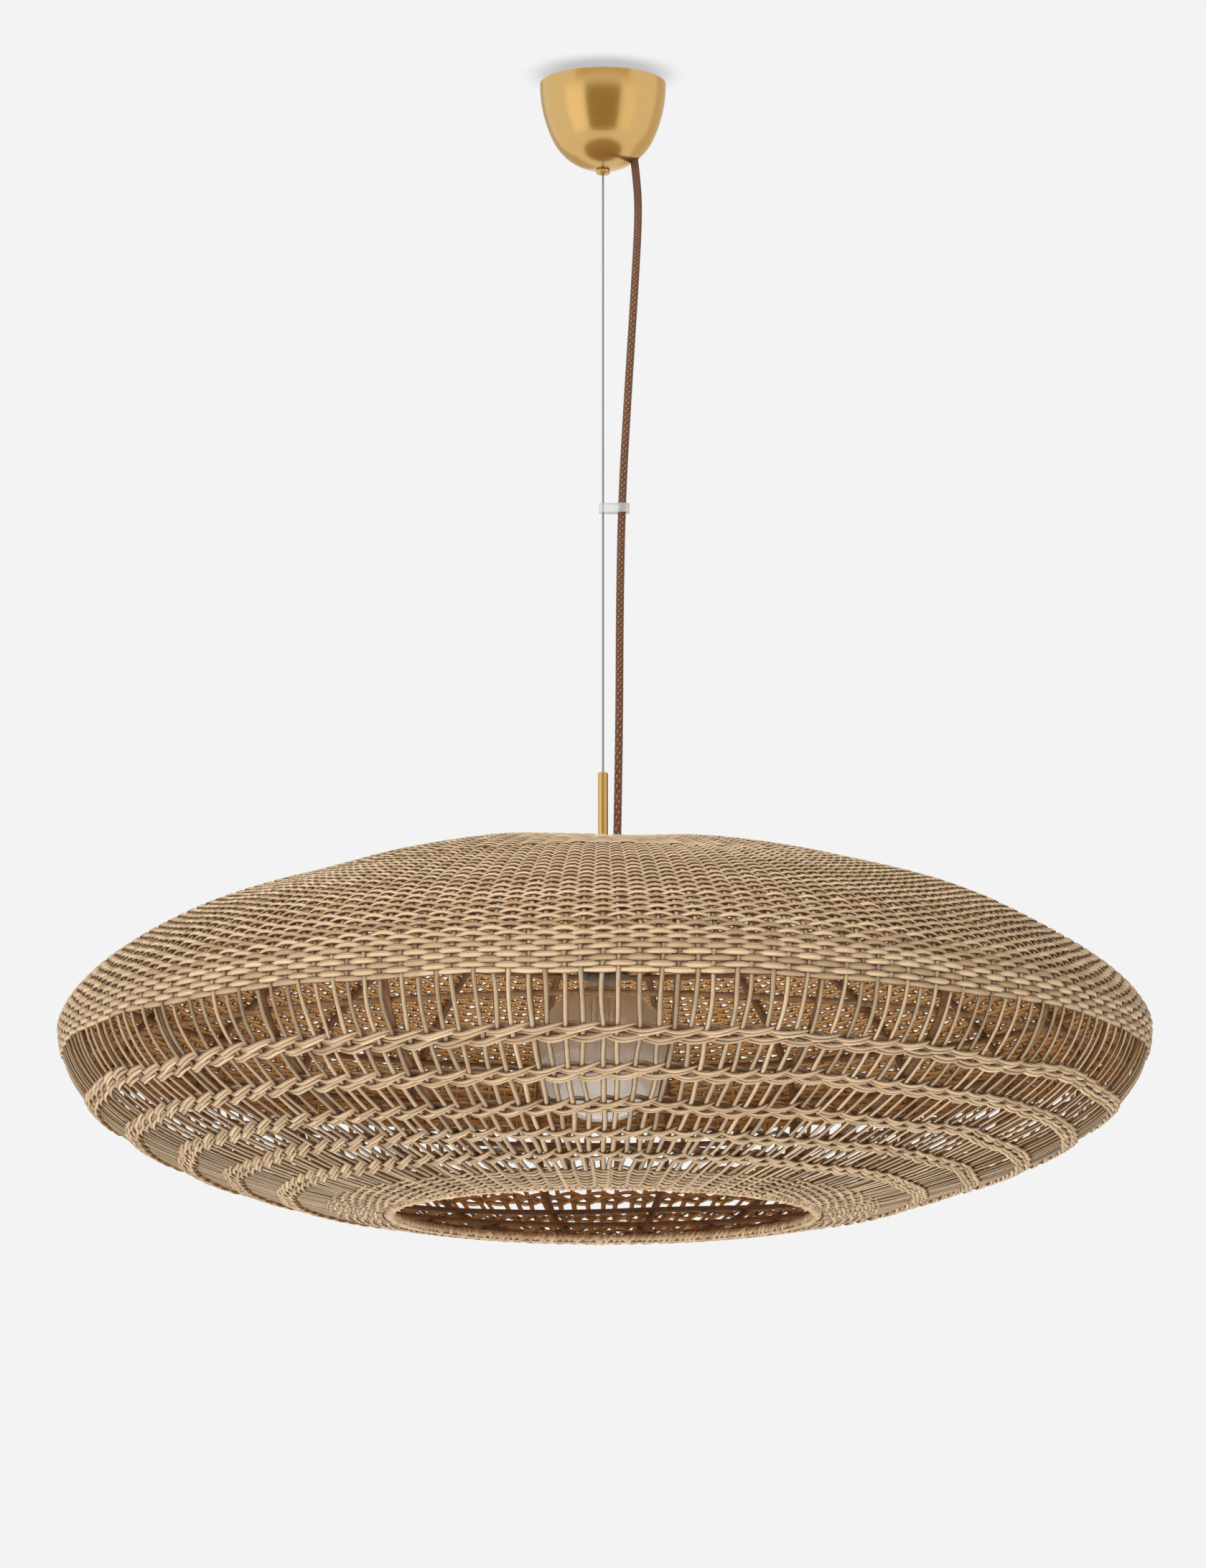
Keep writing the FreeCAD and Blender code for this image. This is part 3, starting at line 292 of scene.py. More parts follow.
def flatSection(name, corners, across, thick):
    section = bpy.data.curves.new(name, "CURVE")
    section.dimensions = "2D"
    line = section.splines.new("POLY")
    line.points.add(len(corners) - 1)
    for point, (x, y) in zip(line.points, corners):
        point.co = (x * across, y * thick, 0, 1)
    line.use_cyclic_u = True
    holder = bpy.data.objects.new(name, section)
    scene.collection.objects.link(holder)
    holder.hide_render = True
    return holder


strandSection = flatSection("strandSection", caneCorners, *caneSizes["strand"])
fineSection = flatSection("fineSection", caneCorners, *caneSizes["fine"])
bandSection = flatSection("bandSection", caneCorners, *caneSizes["band"])
# a spline's frame turns over at the widest line, so the crown's stakes have their section turned too
stakeSection = flatSection("stakeSection", [(y, -x) for x, y in caneCorners], *caneSizes["stake"])
crownStakeSection = flatSection("crownStakeSection", [(-y, x) for x, y in caneCorners], *caneSizes["stake"])


def newStrands(name, section=None, resolution=3):
    curve = bpy.data.curves.new(name, "CURVE")
    curve.dimensions = "3D"
    curve.resolution_u = resolution
    if section:
        curve.twist_mode = "Z_UP"
        curve.bevel_mode = "OBJECT"
        curve.bevel_object = section
    return curve


def layStrand(curve, places, widths, tilts, closed):
    line = curve.splines.new("NURBS")
    line.points.add(len(places) - 1)
    line.points.foreach_set("co", [x for place in places for x in (*place, 1.0)])
    line.points.foreach_set("radius", widths)
    line.points.foreach_set("tilt", tilts)
    line.use_cyclic_u = closed
    line.order_u = 3
    line.use_endpoint_u = not closed
    line.resolution_u = curve.resolution_u


def layRound(curve, places, closed):  # a strand of one width all along
    layStrand(curve, places, [1.0] * len(places), [0.0] * len(places), closed)


def meshOf(curve, name):
    holder = bpy.data.objects.new(name, curve)
    scene.collection.objects.link(holder)
    graph = bpy.context.evaluated_depsgraph_get()
    mesh = bpy.data.meshes.new_from_object(holder.evaluated_get(graph), depsgraph=graph)
    bpy.data.objects.remove(holder)
    return mesh


def addPiece(name, mesh, body, material, nodes):
    mesh.name = name
    mesh.shade_smooth()
    mesh.materials.clear()
    mesh.materials.append(material)
    piece = bpy.data.objects.new(name, mesh)
    scene.collection.objects.link(piece)
    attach(piece, body)
    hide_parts(*nodes)
    return piece


def canePiece(name, curve, tones, material, nodes):  # a tone for each ring of corners along the strands
    mesh = meshOf(curve, name)
    corners = len(caneCorners)
    if len(tones) * corners != len(mesh.vertices):
        raise ValueError(f"{name}: {len(tones)} rings for {len(mesh.vertices)} points")
    tone = mesh.attributes.new("tone", "FLOAT", "POINT")
    tone.data.foreach_set("value", [value for value in tones for _ in range(corners)])
    mesh.uv_layers[0].name = "strand"
    return addPiece(name, mesh, "shade", material, nodes)


def wander(angle, seed, waves):  # a smooth random number round the ring, about -1 to 1
    return 1.8 * noise.noise((math.cos(angle) * waves, math.sin(angle) * waves, seed))


def pieceTones(count):
    tones = []
    while len(tones) < count:
        tones += [random.random()] * random.randint(caneLength // 2, caneLength * 2)
    return tones[:count]


def layRow(curve, tones, count, look):  # a ring of cane: look gives its way, inset and width at each stake
    places, widths, tilts = [], [], []
    for k in range(count):
        angle = 2 * math.pi * k / count
        arc, inset, width = look(k, angle)
        place, slope = onShade(arc, inset, angle)
        places.append(place)
        widths.append(width)
        tilts.append(-slope)
    layStrand(curve, places, widths, tilts, True)
    tones += [tone for tone in pieceTones(count) for _ in range(curve.resolution_u)]


# cords, on the CAD pieces' routes; keep is the share of the height left when the shade is all the way up
wireCord = {
    "name": "suspensionWire", "node": "suspension_wire", "slot": "wire_rope", "radius": 0.00095,
    "route": [(0, 0, -0.08311), (0, 0, -0.227), (0, 0, -0.37), (0, 0, -0.513), (0, 0, -0.656)],
    "stiffness": "medium", "lay": "taut", "keep": 0.30178,
    "look": {"along": 640.0, "around": 6.0, "dark": (0.14, 0.14, 0.13), "pale": (0.46, 0.45, 0.43),
             "rough": 0.45, "metal": 0.6, "relief": 0.0003, "bump": 0.7}}
flexCord = {
    "name": "braidedFlex", "node": "power_cord", "slot": "flex_braid", "radius": 0.0037,
    "route": [(0.0284, 0, -0.066), (0.0308, -0.0004, -0.086), (0.0334, -0.0012, -0.12),
              (0.0304, -0.002, -0.182), (0.0236, -0.0014, -0.29), (0.0174, 0.0002, -0.398),
              (0.0154, 0.0008, -0.506), (0.015, 0.0004, -0.614), (0.013, 0, -0.722)],
    "stiffness": "medium", "lay": "hanging", "keep": 0.39024,
    "look": {"along": 280.0, "around": 9.0, "brown": (0.14, 0.052, 0.024), "redder": (0.22, 0.088, 0.042),
             "fleck": (0.43, 0.235, 0.14), "gapShade": (0.03, 0.012, 0.008), "gapShadeShare": 0.7, "rough": 0.75,
             "relief": 0.0006, "bump": 0.8}}
cordSteps = {"along": 12, "around": 4}


def cordPiece(cord, material):
    name = cord["name"]
    curve = newStrands(name, None, cordSteps["along"])
    layRound(curve, cord["route"], False)
    path = [point.co[:] for point in meshOf(curve, name).vertices]
    curve.bevel_depth = cord["radius"]
    curve.bevel_resolution = cordSteps["around"]
    mesh = meshOf(curve, name)
    mesh.uv_layers[0].name = "strand"
    piece = addPiece(name, mesh, "suspension", material, [cord["node"]])
    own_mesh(piece)


def braidMaterial(look):  # woven sleeve: two sets of threads that cross, pale flecks among the brown, and painted shade between the threads
    material, tree, shader = newMaterial("flexBraid", look["rough"])
    split = splitNode(tree, strandMap(tree))
    along = times(tree, split[0], look["along"])
    around = times(tree, split[1], look["around"])
    sets = [mathNode(tree, way, along, around) for way in ("ADD", "SUBTRACT")]
    one, two = (mathNode(tree, "FRACT", threads) for threads in sets)
    over = mathNode(tree, "GREATER_THAN", mathNode(tree, "FRACT", times(tree, sets[0], 0.5)), 0.5)
    ridge = addNode(tree, "ShaderNodeMix", {0: over, 2: one, 3: two}).outputs[0]
    hump = mathNode(tree, "SINE", times(tree, ridge, halfTurn))

    cells = [mathNode(tree, "FLOOR", threads) for threads in sets]
    halves = [mathNode(tree, "FRACT", times(tree, cell, 0.5)) for cell in cells]
    odd = [mathNode(tree, "GREATER_THAN", half, 0.25) for half in halves]  # every second thread is pale
    spot = addNode(tree, "ShaderNodeCombineXYZ", {0: cells[0], 1: cells[1]}).outputs[0]
    chance = addNode(tree, "ShaderNodeTexWhiteNoise", {"Vector": spot}).outputs[0]
    colour = mixColour(tree, chance, look["brown"], look["redder"])
    colour = mixColour(tree, times(tree, odd[0], odd[1]), colour, look["fleck"])
    # painted shade: nearly black where the threads dip between each other
    gapShade = times(tree, mathNode(tree, "SUBTRACT", 1.0, hump), look["gapShadeShare"])
    tree.links.new(mixColour(tree, gapShade, colour, look["gapShade"]), shader["Base Color"])
    addBump(tree, shader, hump, look["relief"], look["bump"])
    return material


def wireMaterial(look):  # strands laid in a spiral, with painted shade in the valleys between them
    material, tree, shader = newMaterial("wireRope", look["rough"], look["metal"])
    split = splitNode(tree, strandMap(tree))
    turn = plus(tree, times(tree, split[0], look["along"]), times(tree, split[1], look["around"]))
    lay = mathNode(tree, "ABSOLUTE", mathNode(tree, "SINE", times(tree, turn, halfTurn)))
    # painted shade: the dark colour falls in the valleys between the strands, the pale on their crowns
    tree.links.new(mixColour(tree, lay, look["dark"], look["pale"]), shader["Base Color"])
    addBump(tree, shader, lay, look["relief"], look["bump"])
    return material


cordPiece(wireCord, wireMaterial(wireCord["look"]))
cordPiece(flexCord, braidMaterial(flexCord["look"]))
print("cords made")

# the woven crown: each row goes over one stake and behind the next
crown = {
    "rowPitch": 0.00495, "inset": 0.0029, "swing": 0.0037, "over": 1.40, "behind": 1.05, "vary": (0.86, 1.12),
    "wander": 0.0015, "waves": 6.0, "seed": 0.23, "jitter": 0.0003,
    "stakes": ((0.330, 192), (0.130, 96), (0.060, 48), (0.0, 24)), "hole": 0.022, "edge": 0.0247,
    "look": {"pale": (0.70, 0.485, 0.285), "dark": (0.33, 0.20, 0.10), "pithAndGlow": (0.97, 0.50, 0.15),
             "grooves": 2.0, "streaks": 260.0, "relief": 0.0006, "edge": 0.80}}
crownCane = caneMaterial("crownCane", crown["look"])
topArc = arcAtReach(crown["hole"])
edgeArc = arcAtLevel(-crown["edge"])


def stakesAt(reach):
    return next(count for limit, count in crown["stakes"] if reach > limit)


def crownRow(curve, tones, number, arc):
    def look(k, angle):
        over = (k + number) % 2 == 0
        shift = crown["wander"] * wander(angle, number * crown["seed"], crown["waves"])
        shift += random.uniform(-1, 1) * crown["jitter"]
        inset = crown["inset"] + (-1 if over else 1) * crown["swing"]
        width = (crown["over"] if over else crown["behind"]) * random.uniform(*crown["vary"])
        return arc + shift, inset, width

    layRow(curve, tones, stakesAt(spots[bisect_left(arcs, arc)].x), look)


def weaveCrown():
    count = round((edgeArc - topArc) / crown["rowPitch"])
    rows = [topArc + (k + 0.5) * (edgeArc - topArc) / count for k in range(count)]
    outer = [k for k, arc in enumerate(rows) if arc > arcAtReach(crown["stakes"][0][0])]
    half = outer[len(outer) // 2]
    shares = {"crownWeaveTop": (0, outer[0]), "crownWeaveSide": (outer[0], half),
              "crownWeaveEdge": (half, count)}
    for name, (low, high) in shares.items():
        curve, tones = newStrands(name, strandSection), []
        for number in range(low, high):
            crownRow(curve, tones, number, rows[number])
        canePiece(name, curve, tones, crownCane, ["woven_crown"])
    print(f"crown woven in {count} rows")


weaveCrown()

# stakes: split canes that run from the top to the rim
stake = {
    "count": 192, "step": 0.018, "inset": 0.0029, "vary": (0.86, 1.1), "uneven": 0.0030, "crownShare": 0.5,
    "sway": 0.0032, "swayWaves": 22, "swaySeed": 3.7, "lift": 0.0005, "liftWaves": 30, "liftSeed": 5.1,
    "least": 0.02, "bowlSeed": 400, "leastPoints": 4, "steps": 2,
    "look": {"pale": (0.58, 0.40, 0.235), "dark": (0.19, 0.12, 0.06), "pithAndGlow": (0.88, 0.45, 0.14),
             "grooves": 2.0, "streaks": 60.0, "relief": 0.0005, "edge": 0.85}}
stakeCane = caneMaterial("stakeCane", stake["look"])


def layStake(curve, tones, angle, start, end, seed, offset):
    count = max(stake["leastPoints"], round((end - start) / stake["step"]))
    places, widths = [], []
    for k in range(count):
        arc = start + (end - start) * k / (count - 1)
        reach = max(spots[min(bisect_left(arcs, arc), len(arcs) - 1)].x, stake["least"])
        sway = stake["sway"] * noise.noise((arc * stake["swayWaves"], seed * stake["swaySeed"], 0.5))
        lift = stake["lift"] * noise.noise((arc * stake["liftWaves"], seed * stake["liftSeed"], 7.5))
        place, slope = onShade(arc, stake["inset"] + lift, angle + sway / reach + offset)
        places.append(place)
        widths.append(random.uniform(*stake["vary"]))
    layStrand(curve, places, widths, [0.0] * count, False)
    tones += [random.random()] * ((count - 1) * curve.resolution_u)


def makeStakes():
    upper, upperTones = newStrands("crownStakes", crownStakeSection, stake["steps"]), []
    lower, lowerTones = newStrands("bowlStakes", stakeSection, stake["steps"]), []
    for k in range(stake["count"]):
        angle = 2 * math.pi * k / stake["count"]
        rings = reversed(crown["stakes"])
        limit = next(limit for limit, count in rings if k % (stake["count"] // count) == 0)
        start = topArc if limit == 0 else arcAtReach(limit)
        offset = random.uniform(-1, 1) * stake["uneven"] / shade["radius"]
        layStake(upper, upperTones, angle, start, widestArc, k, offset * stake["crownShare"])
        layStake(lower, lowerTones, angle, widestArc, rimArc, k + stake["bowlSeed"], offset)
    canePiece("crownStakes", upper, upperTones, stakeCane, ["woven_crown"])
    canePiece("bowlStakes", lower, lowerTones, stakeCane, ["weave_stakes"])
    print("stakes laid")


makeStakes()

# twined bands: two rows of two weavers that swap front and back every two stakes;
# a weaver is two canes side by side, and comes out low and goes in high
band = {
    "reach": (0.466, 0.427, 0.381, 0.336, 0.289), "crossings": 192, "steps": 4,
    "rows": (-0.5, 0.5), "weavers": (0, 2), "canes": (-0.5, 0.5), "rowPitch": 0.0082, "apart": 0.2,
    "pair": 0.0036, "inset": 0.0038, "over": 0.0040, "behind": 0.0036, "widths": (1.0, 1.0, 0.75, 0.75),
    "vary": (0.85, 1.15), "slants": (1, -1, -1, 1), "slant": 0.0022, "leanRight": 0.45, "leanVary": 0.25,
    "jitter": 0.0005, "meander": 0.0030, "wave": 0.17, "waveShare": 0.35, "wanderShare": 0.8, "phase": 6,
    "seeds": {"sway": 4.3, "apart": 7.7, "lean": 2.9}, "waves": {"sway": 5.0, "apart": 7.0, "lean": 30.0}}
band["insets"] = (-band["over"], -band["over"], band["behind"], band["behind"])


def twineBand(number, reach):
    name = f"twinedBand{number}"
    curve, tones = newStrands(name, bandSection, band["steps"]), []
    middle = arcAtReach(reach, True)
    waves = round(2 * math.pi * reach / band["wave"])
    phase = random.uniform(0, band["phase"])
    seeds, ripples = band["seeds"], band["waves"]

    def bandSway(angle):
        wave = band["waveShare"] * math.sin(waves * angle + phase)
        return band["meander"] * (
            wave + band["wanderShare"] * wander(angle, number * seeds["sway"], ripples["sway"]))

    for row, weaver, side in product(band["rows"], band["weavers"], band["canes"]):
        def look(k, angle):
            turn = (k + weaver + (row > 0)) % 4
            apart = 1 + band["apart"] * wander(angle, number * seeds["apart"], ripples["apart"])
            lean = (1 - band["leanRight"] * math.cos(angle)
                    + band["leanVary"] * wander(angle, number * seeds["lean"] + row, ripples["lean"]))
            shift = band["slants"][turn] * band["slant"] * lean
            width = band["widths"][turn] * random.uniform(*band["vary"])
            arc = (middle + row * band["rowPitch"] * apart + side * band["pair"] + bandSway(angle) + shift
                   + random.uniform(-1, 1) * band["jitter"])
            return arc, band["inset"] + band["insets"][turn], width

        layRow(curve, tones, band["crossings"], look)
    canePiece(name, curve, tones, crownCane, [f"twined_band_{number}"])


for number, reach in enumerate(band["reach"], start=1):
    twineBand(number, reach)
print("bands twined")

# border above the rim: fine rows over pairs of stakes
border = {"reach": 0.2298, "width": 0.048, "rows": 12, "stakes": 96, "swing": 0.0042, "inset": 0.0032,
          "over": 1.2, "behind": 0.6, "vary": (0.93, 1.07), "wander": 0.0011, "waves": 7.0, "seed": 60,
          "seedStep": 0.4, "jitter": 0.0003}


def weaveBorder():
    curve, tones = newStrands("borderWeave", fineSection), []
    middle = arcAtReach(border["reach"], True)
    pitch = border["width"] / border["rows"]
    for row in range(border["rows"]):
        seed = border["seed"] + row * border["seedStep"]
        level = (row - (border["rows"] - 1) / 2) * pitch

        def look(k, angle):
            over = (k + row) % 2 == 0
            shift = border["wander"] * wander(angle, seed, border["waves"])
            shift += random.uniform(-1, 1) * border["jitter"]
            inset = border["inset"] + (-1 if over else 1) * border["swing"]
            width = (border["over"] if over else border["behind"]) * random.uniform(*border["vary"])
            return middle + level + shift, inset, width

        layRow(curve, tones, border["stakes"], look)
    canePiece("borderWeave", curve, tones, crownCane, ["border_band"])
    print("border woven")


weaveBorder()

# rim: strips of cane wrapped round the ring, each lapping the last, with painted shade where one strip laps
# the next
rim = {"reach": 0.194, "height": -1.06356, "tube": 0.0058, "strips": 226, "stepsPerStrip": 6, "around": 14,
       "lap": 0.0021, "slant": 0.45, "lifts": (0.35, 1.0), "uneven": 0.28, "swell": 0.6,
       "look": {"rough": 0.5, "grain": 700.0, "detail": 3.0, "toneShare": 0.7, "grainShare": 0.4,
                "lapShade": (0.06, 0.03, 0.015), "lapShadeSharp": 9.0, "lapShadeShare": 0.8, "relief": 0.0006,
                "bump": 0.5}}


def wrapRim():
    wrap = bmesh.new()
    made = bmesh.ops.create_circle(wrap, segments=rim["around"], radius=rim["tube"] - rim["lap"])
    bmesh.ops.rotate(wrap, verts=made["verts"], cent=(0, 0, 0), matrix=Matrix.Rotation(math.pi / 2, 3, "X"))
    bmesh.ops.translate(wrap, verts=made["verts"], vec=(rim["reach"], 0, rim["height"]))
    bmesh.ops.spin(wrap, geom=wrap.verts[:] + wrap.edges[:], cent=(0, 0, 0), axis=(0, 0, 1),
                   dvec=(0, 0, 0), angle=2 * math.pi, steps=rim["strips"] * rim["stepsPerStrip"],
                   use_merge=True, use_duplicate=False)
    bmesh.ops.recalc_face_normals(wrap, faces=wrap.faces)
    toneLayer = wrap.verts.layers.float.new("tone")
    layLayer = wrap.verts.layers.float.new("lay")
    tones = [random.random() for _ in range(rim["strips"])]
    lifts = [random.uniform(*rim["lifts"]) for _ in range(rim["strips"])]
    shifts = [random.uniform(-rim["uneven"], rim["uneven"]) for _ in range(rim["strips"] + 1)]
    for point in wrap.verts:
        angle = math.atan2(point.co.y, point.co.x) % (2 * math.pi)
        centre = Vector((rim["reach"] * math.cos(angle), rim["reach"] * math.sin(angle), rim["height"]))
        out = (point.co - centre).normalized()
        turn = math.atan2(out.z, out.x * math.cos(angle) + out.y * math.sin(angle))
        lay = angle / (2 * math.pi) * rim["strips"] + rim["slant"] * math.sin(turn)
        strip = int(lay) % rim["strips"]
        part = lay - math.floor(lay) + shifts[strip] * math.sin(2 * turn)
        part = min(max(part, 0.0), 1.0)
        swell = lifts[strip] * math.sin(math.pi * part ** rim["swell"])
        point.co = centre + out * (rim["tube"] - rim["lap"] * (1 - swell))
        point[toneLayer] = tones[strip]
        point[layLayer] = part
    mesh = bpy.data.meshes.new("rimWrap")
    wrap.to_mesh(mesh)
    wrap.free()
    return mesh


def rimMaterial(cane, look):
    material, tree, shader = newMaterial("rimCane", look["rough"])
    streak = grainNode(tree, objectPlace(tree), look["grain"], look["detail"])
    mixed = plus(tree, times(tree, attributeNode(tree, "tone"), look["toneShare"]),
                 times(tree, streak, look["grainShare"]))
    colour = mixColour(tree, mixed, cane["dark"], cane["pale"])
    # painted shade: nearly black at both edges of each strip, where the strips lap
    middle = mathNode(tree, "SUBTRACT", times(tree, attributeNode(tree, "lay"), 2.0), 1.0)
    lapShade = mathNode(tree, "POWER", mathNode(tree, "ABSOLUTE", middle), look["lapShadeSharp"])
    colour = mixColour(tree, times(tree, lapShade, look["lapShadeShare"]), colour, look["lapShade"])
    tree.links.new(colour, shader["Base Color"])
    addBump(tree, shader, streak, look["relief"], look["bump"])
    return material


addPiece("rimWrap", wrapRim(), "shade", rimMaterial(crown["look"], rim["look"]), ["rim_wrap"])
print("rim wrapped")

# frame: ribs and hoops of stained cane
frameSet = {
    "ribs": 24, "inset": 0.0094, "rib": 0.0031, "top": 0.044, "ribSteps": 22,
    "hoopInset": 0.0150, "hoop": 0.0027, "hoopSteps": 48, "around": 2,
    "hoops": {"crown": 0.118, "shoulder": 0.047, "equator": 0.0, "belly": -0.047, "lower": -0.135,
              "mouth": -0.1585},
    "look": {"dark": (0.09, 0.040, 0.014), "pale": (0.36, 0.18, 0.070), "rough": 0.5, "grain": 160.0,
             "detail": 4.0, "relief": 0.0008, "bump": 0.5}}


def stainedMaterial(look):
    material, tree, shader = newMaterial("stainedCane", look["rough"])
    grain = grainNode(tree, objectPlace(tree), look["grain"], look["detail"])
    tree.links.new(mixColour(tree, grain, look["dark"], look["pale"]), shader["Base Color"])
    addBump(tree, shader, grain, look["relief"], look["bump"])
    return material


stainedCane = stainedMaterial(frameSet["look"])


def framePiece(name, lines, closed, radius, nodes):
    curve = newStrands(name)
    for places in lines:
        layRound(curve, places, closed)
    curve.bevel_depth = radius
    curve.bevel_resolution = frameSet["around"]
    curve.use_fill_caps = True
    addPiece(name, meshOf(curve, name), "shade", stainedCane, nodes)


def ribLine(angle):
    start, steps = arcAtReach(frameSet["top"]), frameSet["ribSteps"]
    ways = [start + (rimArc - start) * step / steps for step in range(steps + 1)]
    return [onShade(way, frameSet["inset"], angle)[0] for way in ways]


def hoopLine(level):
    arc, steps = arcAtLevel(level), frameSet["hoopSteps"]
    return [onShade(arc, frameSet["hoopInset"], 2 * math.pi * k / steps)[0] for k in range(steps)]


def makeFrame():
    turns = [2 * math.pi * (k + 0.5) / frameSet["ribs"] for k in range(frameSet["ribs"])]
    framePiece("frameRibs", [ribLine(angle) for angle in turns], False, frameSet["rib"], ["frame_ribs"])
    for name, level in frameSet["hoops"].items():
        framePiece(f"{name}Hoop", [hoopLine(level)], True, frameSet["hoop"], [f"{name}_hoop"])
    print("frame made")


makeFrame()

# finishes of the CAD pieces that keep their shape
brass = {"deep": (0.68, 0.435, 0.155), "light": (0.74, 0.49, 0.19), "rough": 0.19, "roughSpread": 0.05,
         "stretch": (30.0, 30.0, 1500.0), "detail": 2.0}
plain = {"darker": 0.86, "detail": 3.0, "bump": 0.3}
glass = {"ior": 1.5, "shine": 0.9, "weight": 0.72}


def brassMaterial():  # satin, with only a faint brushing round the turned pieces
    material, tree, shader = newMaterial("satinBrass", metal=1.0)
    stretched = addNode(tree, "ShaderNodeMapping", {"Vector": objectPlace(tree), "Scale": brass["stretch"]})
    brushed = grainNode(tree, stretched.outputs[0], 1.0, brass["detail"])
    tree.links.new(mixColour(tree, brushed, brass["deep"], brass["light"]), shader["Base Color"])
    rough = plus(tree, times(tree, brushed, brass["roughSpread"]), brass["rough"])
    tree.links.new(rough, shader["Roughness"])
    return material


def plainMaterial(name, colour, rough, metal=0.0, grain=250.0, relief=0.0002):
    material, tree, shader = newMaterial(name, rough, metal)
    speckle = grainNode(tree, objectPlace(tree), grain, plain["detail"])
    darker = tuple(value * plain["darker"] for value in colour)
    tree.links.new(mixColour(tree, speckle, darker, colour), shader["Base Color"])
    addBump(tree, shader, speckle, relief, plain["bump"])
    return material


def glassMaterial(name, colour, rough):
    material, _, shader = newMaterial(name, rough, colour=colour)
    shader["Transmission Weight"].default_value = glass["weight"]
    shader["IOR"].default_value = glass["ior"]
    shader["Specular IOR Level"].default_value = glass["shine"]
    return material


slotFinish = {
    "brass": brassMaterial(),
    "steel": plainMaterial("zincSteel", (0.62, 0.62, 0.60), rough=0.35, metal=1.0, grain=90.0),
    "wire_rope": plainMaterial("wireEnd", (0.50, 0.49, 0.47), rough=0.4, metal=1.0),
    "drum_plastic": plainMaterial("drumPlastic", (0.78, 0.78, 0.75), rough=0.5),
    "flex_braid": plainMaterial("flexInside", (0.30, 0.14, 0.09), rough=0.8, grain=900.0, relief=0.0004),
    "terminal_plastic": plainMaterial("terminalPlastic", (0.85, 0.85, 0.82), rough=0.45),
    "clear_clip": glassMaterial("clearClip", (0.86, 0.85, 0.82), rough=0.22),
    "holder_dark": plainMaterial("holderDark", (0.035, 0.030, 0.027), rough=0.35),
    "holder_ceramic": plainMaterial("holderCeramic", (0.85, 0.83, 0.78), rough=0.4),
    "bulb_glass": glassMaterial("bulbGlass", (1.0, 0.93, 0.84), rough=0.05),
    "bulb_metal": plainMaterial("bulbMetal", (0.72, 0.72, 0.70), rough=0.3, metal=1.0),
    "filament": plainMaterial("filament", (0.85, 0.40, 0.07), rough=0.5),
    "rattan_weave": crownCane,
    "cane_frame": stainedCane,
}


def paintNodes():
    slots = {part["node"]: part["material_slot"] for part in frame["record"]["subparts"]}
    for name, node in frame["nodes"].items():
        for place in node.material_slots:
            place.link = "OBJECT"
            place.material = slotFinish[slots[name]]
    print(f"{len(slots)} CAD pieces finished")


paintNodes()

# room: pale floor and back, and plain soft light
room = {
    "world": 0.50, "back": 0.896, "lampColour": (0.92, 0.97, 1.0), "aim": (0, 0, -0.8),
    "floor": {"height": -2.6, "size": (14, 14), "colour": (0.80, 0.80, 0.80), "rough": 0.9},
    "lamps": {
        "left": {"place": (-3.2, -3.4, 0.4), "size": (2.6, 3.4), "power": 124.0},
        "right": {"place": (3.2, -3.2, 0.7), "size": (2.2, 3.2), "power": 58.0},
        "top": {"place": (-0.6, -0.6, 2.6), "size": (4.0, 4.0), "power": 80.0},
        "under": {"place": (0.0, -0.6, -2.5), "size": (2.2, 2.2), "power": 38.0}}}

# cards: paler and darker parts of the room that only metal and glass show
cards = {
    "frontCard": {"place": (0.0, -3.6, -1.65), "size": (4.6, 3.6), "colour": (0.38, 0.31, 0.15)},
    "highCard": {"place": (0.0, -5.0, 2.4), "size": (12.0, 2.8), "colour": (0.66, 0.58, 0.42)},
    "leftGlow": {"place": (-3.2, -2.2, -1.3), "size": (2.6, 3.2), "colour": (1.16, 1.12, 1.08)},
    "rightGlow": {"place": (3.2, -2.4, -1.3), "size": (1.8, 3.0), "colour": (1.04, 1.0, 0.94)},
    "leftCard": {"place": (-1.4, 3.4, -0.4), "size": (2.0, 5.0), "colour": (0.60, 0.54, 0.42)},
    "rightCard": {"place": (2.4, 2.9, -0.4), "size": (3.4, 5.0), "colour": (0.68, 0.61, 0.48)},
}

# soft shadow of the cup on the white ceiling, seen from below
ceiling = {"place": (0, -0.030, 0.0006), "radius": 0.095, "from": 0.034, "to": 0.084, "strength": 0.42,
           "segments": 64}


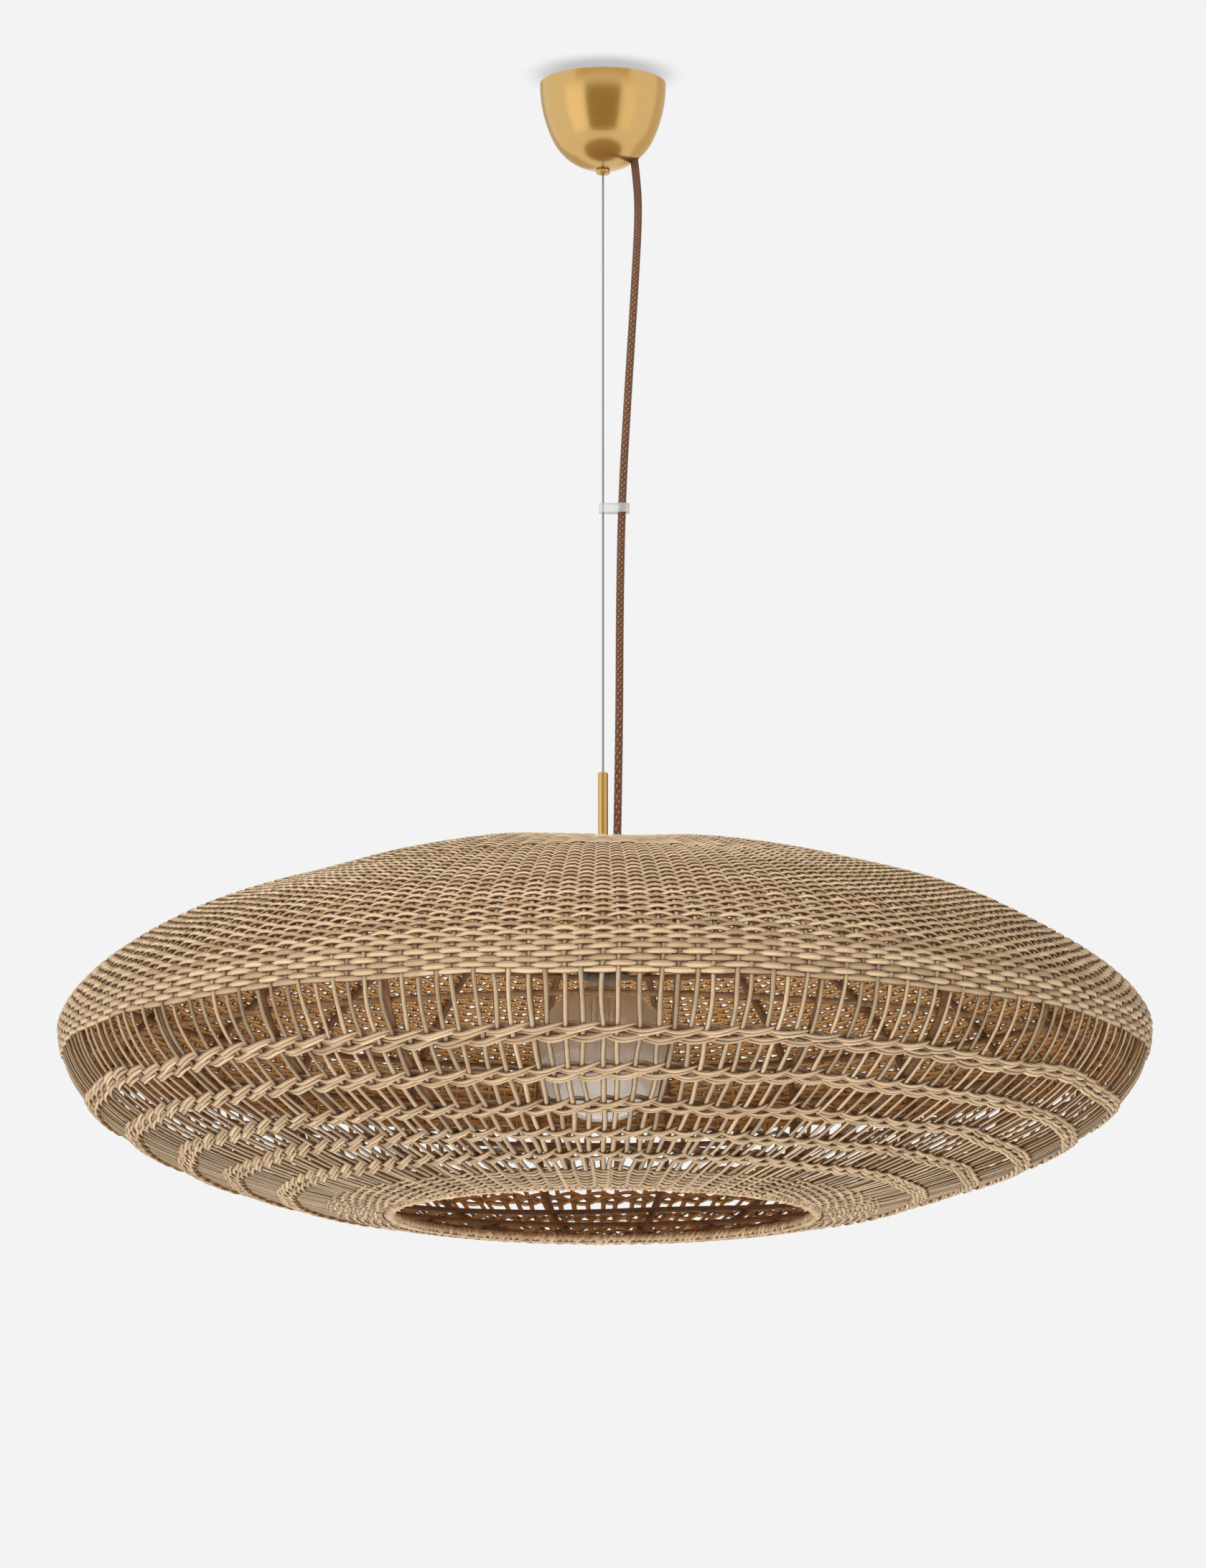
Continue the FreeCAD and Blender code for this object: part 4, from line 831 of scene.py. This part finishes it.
def lightRoom():
    world = bpy.data.worlds.new("room")
    scene.world = world
    world.use_nodes = True
    tree = world.node_tree
    tree.nodes.clear()
    path = addNode(tree, "ShaderNodeLightPath").outputs
    mirrored = mathNode(tree, "MAXIMUM", path["Is Glossy Ray"], path["Is Transmission Ray"])
    seen = mathNode(tree, "MAXIMUM", path["Is Camera Ray"], mirrored)
    light = addNode(tree, "ShaderNodeBackground", {"Color": (1, 1, 1), "Strength": room["world"]})
    back = addNode(tree, "ShaderNodeBackground", {"Color": (1, 1, 1), "Strength": room["back"]})
    mixed = addNode(tree, "ShaderNodeMixShader", {0: seen, 1: light.outputs[0], 2: back.outputs[0]})
    addNode(tree, "ShaderNodeOutputWorld", {0: mixed.outputs[0]})
    for name, spec in room["lamps"].items():
        lamp = bpy.data.lights.new(name, "AREA")
        lamp.shape = "RECTANGLE"
        lamp.size, lamp.size_y = spec["size"]
        lamp.energy = spec["power"]
        lamp.color = room["lampColour"]
        holder = bpy.data.objects.new(name, lamp)
        holder.location = spec["place"]
        aim = Vector(room["aim"]) - Vector(spec["place"])
        holder.rotation_euler = aim.to_track_quat("-Z", "Y").to_euler()
        holder.visible_camera = holder.visible_glossy = False
        scene.collection.objects.link(holder)


def stageMesh(name, shape, material):
    mesh = bpy.data.meshes.new(name)
    shape.to_mesh(mesh)
    shape.free()
    mesh.materials.append(material)
    holder = bpy.data.objects.new(name, mesh)
    scene.collection.objects.link(holder)
    return holder


def stagePlane(name, size, place, turn, material):
    plane = bmesh.new()
    bmesh.ops.create_grid(plane, x_segments=1, y_segments=1, size=0.5)
    holder = stageMesh(name, plane, material)
    holder.scale = (*size, 1)
    holder.location = place
    holder.rotation_euler = turn
    return holder


def paleFloor():  # seen through from below
    spec = room["floor"]
    material, tree, shader = newMaterial("floor", spec["rough"], colour=spec["colour"])
    below = addNode(tree, "ShaderNodeNewGeometry").outputs["Backfacing"]
    tree.links.new(mathNode(tree, "SUBTRACT", 1.0, below), shader["Alpha"])
    floor = stagePlane("floor", spec["size"], (0, 0, spec["height"]), (0, 0, 0), material)
    floor.visible_glossy = False


def reflectionCards():
    for name, card in cards.items():
        material = bpy.data.materials.new(name)
        material.use_nodes = True
        tree = material.node_tree
        tree.nodes.clear()
        glow = addNode(tree, "ShaderNodeEmission", {"Color": card["colour"]})
        addNode(tree, "ShaderNodeOutputMaterial", {0: glow.outputs[0]})
        aim = Vector((0, 0, card["place"][2])) - Vector(card["place"])
        turn = aim.to_track_quat("Z", "Y").to_euler()
        plane = stagePlane(name, card["size"], card["place"], turn, material)
        plane.visible_camera = plane.visible_diffuse = False
        plane.visible_transmission = plane.visible_shadow = False


def ceilingShade():
    material, tree, shader = newMaterial("ceilingShade", 1.0, colour=(0, 0, 0))
    reach = addNode(tree, "ShaderNodeVectorMath", {0: objectPlace(tree)}, operation="LENGTH").outputs["Value"]
    fade = addNode(tree, "ShaderNodeMapRange", {
        "Value": reach, "From Min": ceiling["from"], "From Max": ceiling["to"],
        "To Min": ceiling["strength"], "To Max": 0.0}, interpolation_type="SMOOTHERSTEP").outputs[0]
    below = addNode(tree, "ShaderNodeNewGeometry").outputs["Backfacing"]
    tree.links.new(times(tree, fade, below), shader["Alpha"])
    disc = bmesh.new()
    bmesh.ops.create_circle(disc, cap_ends=True, segments=ceiling["segments"], radius=ceiling["radius"])
    holder = stageMesh("ceilingShade", disc, material)
    holder.location = ceiling["place"]
    holder.visible_diffuse = holder.visible_glossy = False
    holder.visible_shadow = holder.visible_transmission = False


lightRoom()
paleFloor()
reflectionCards()
ceilingShade()
print("room lit")
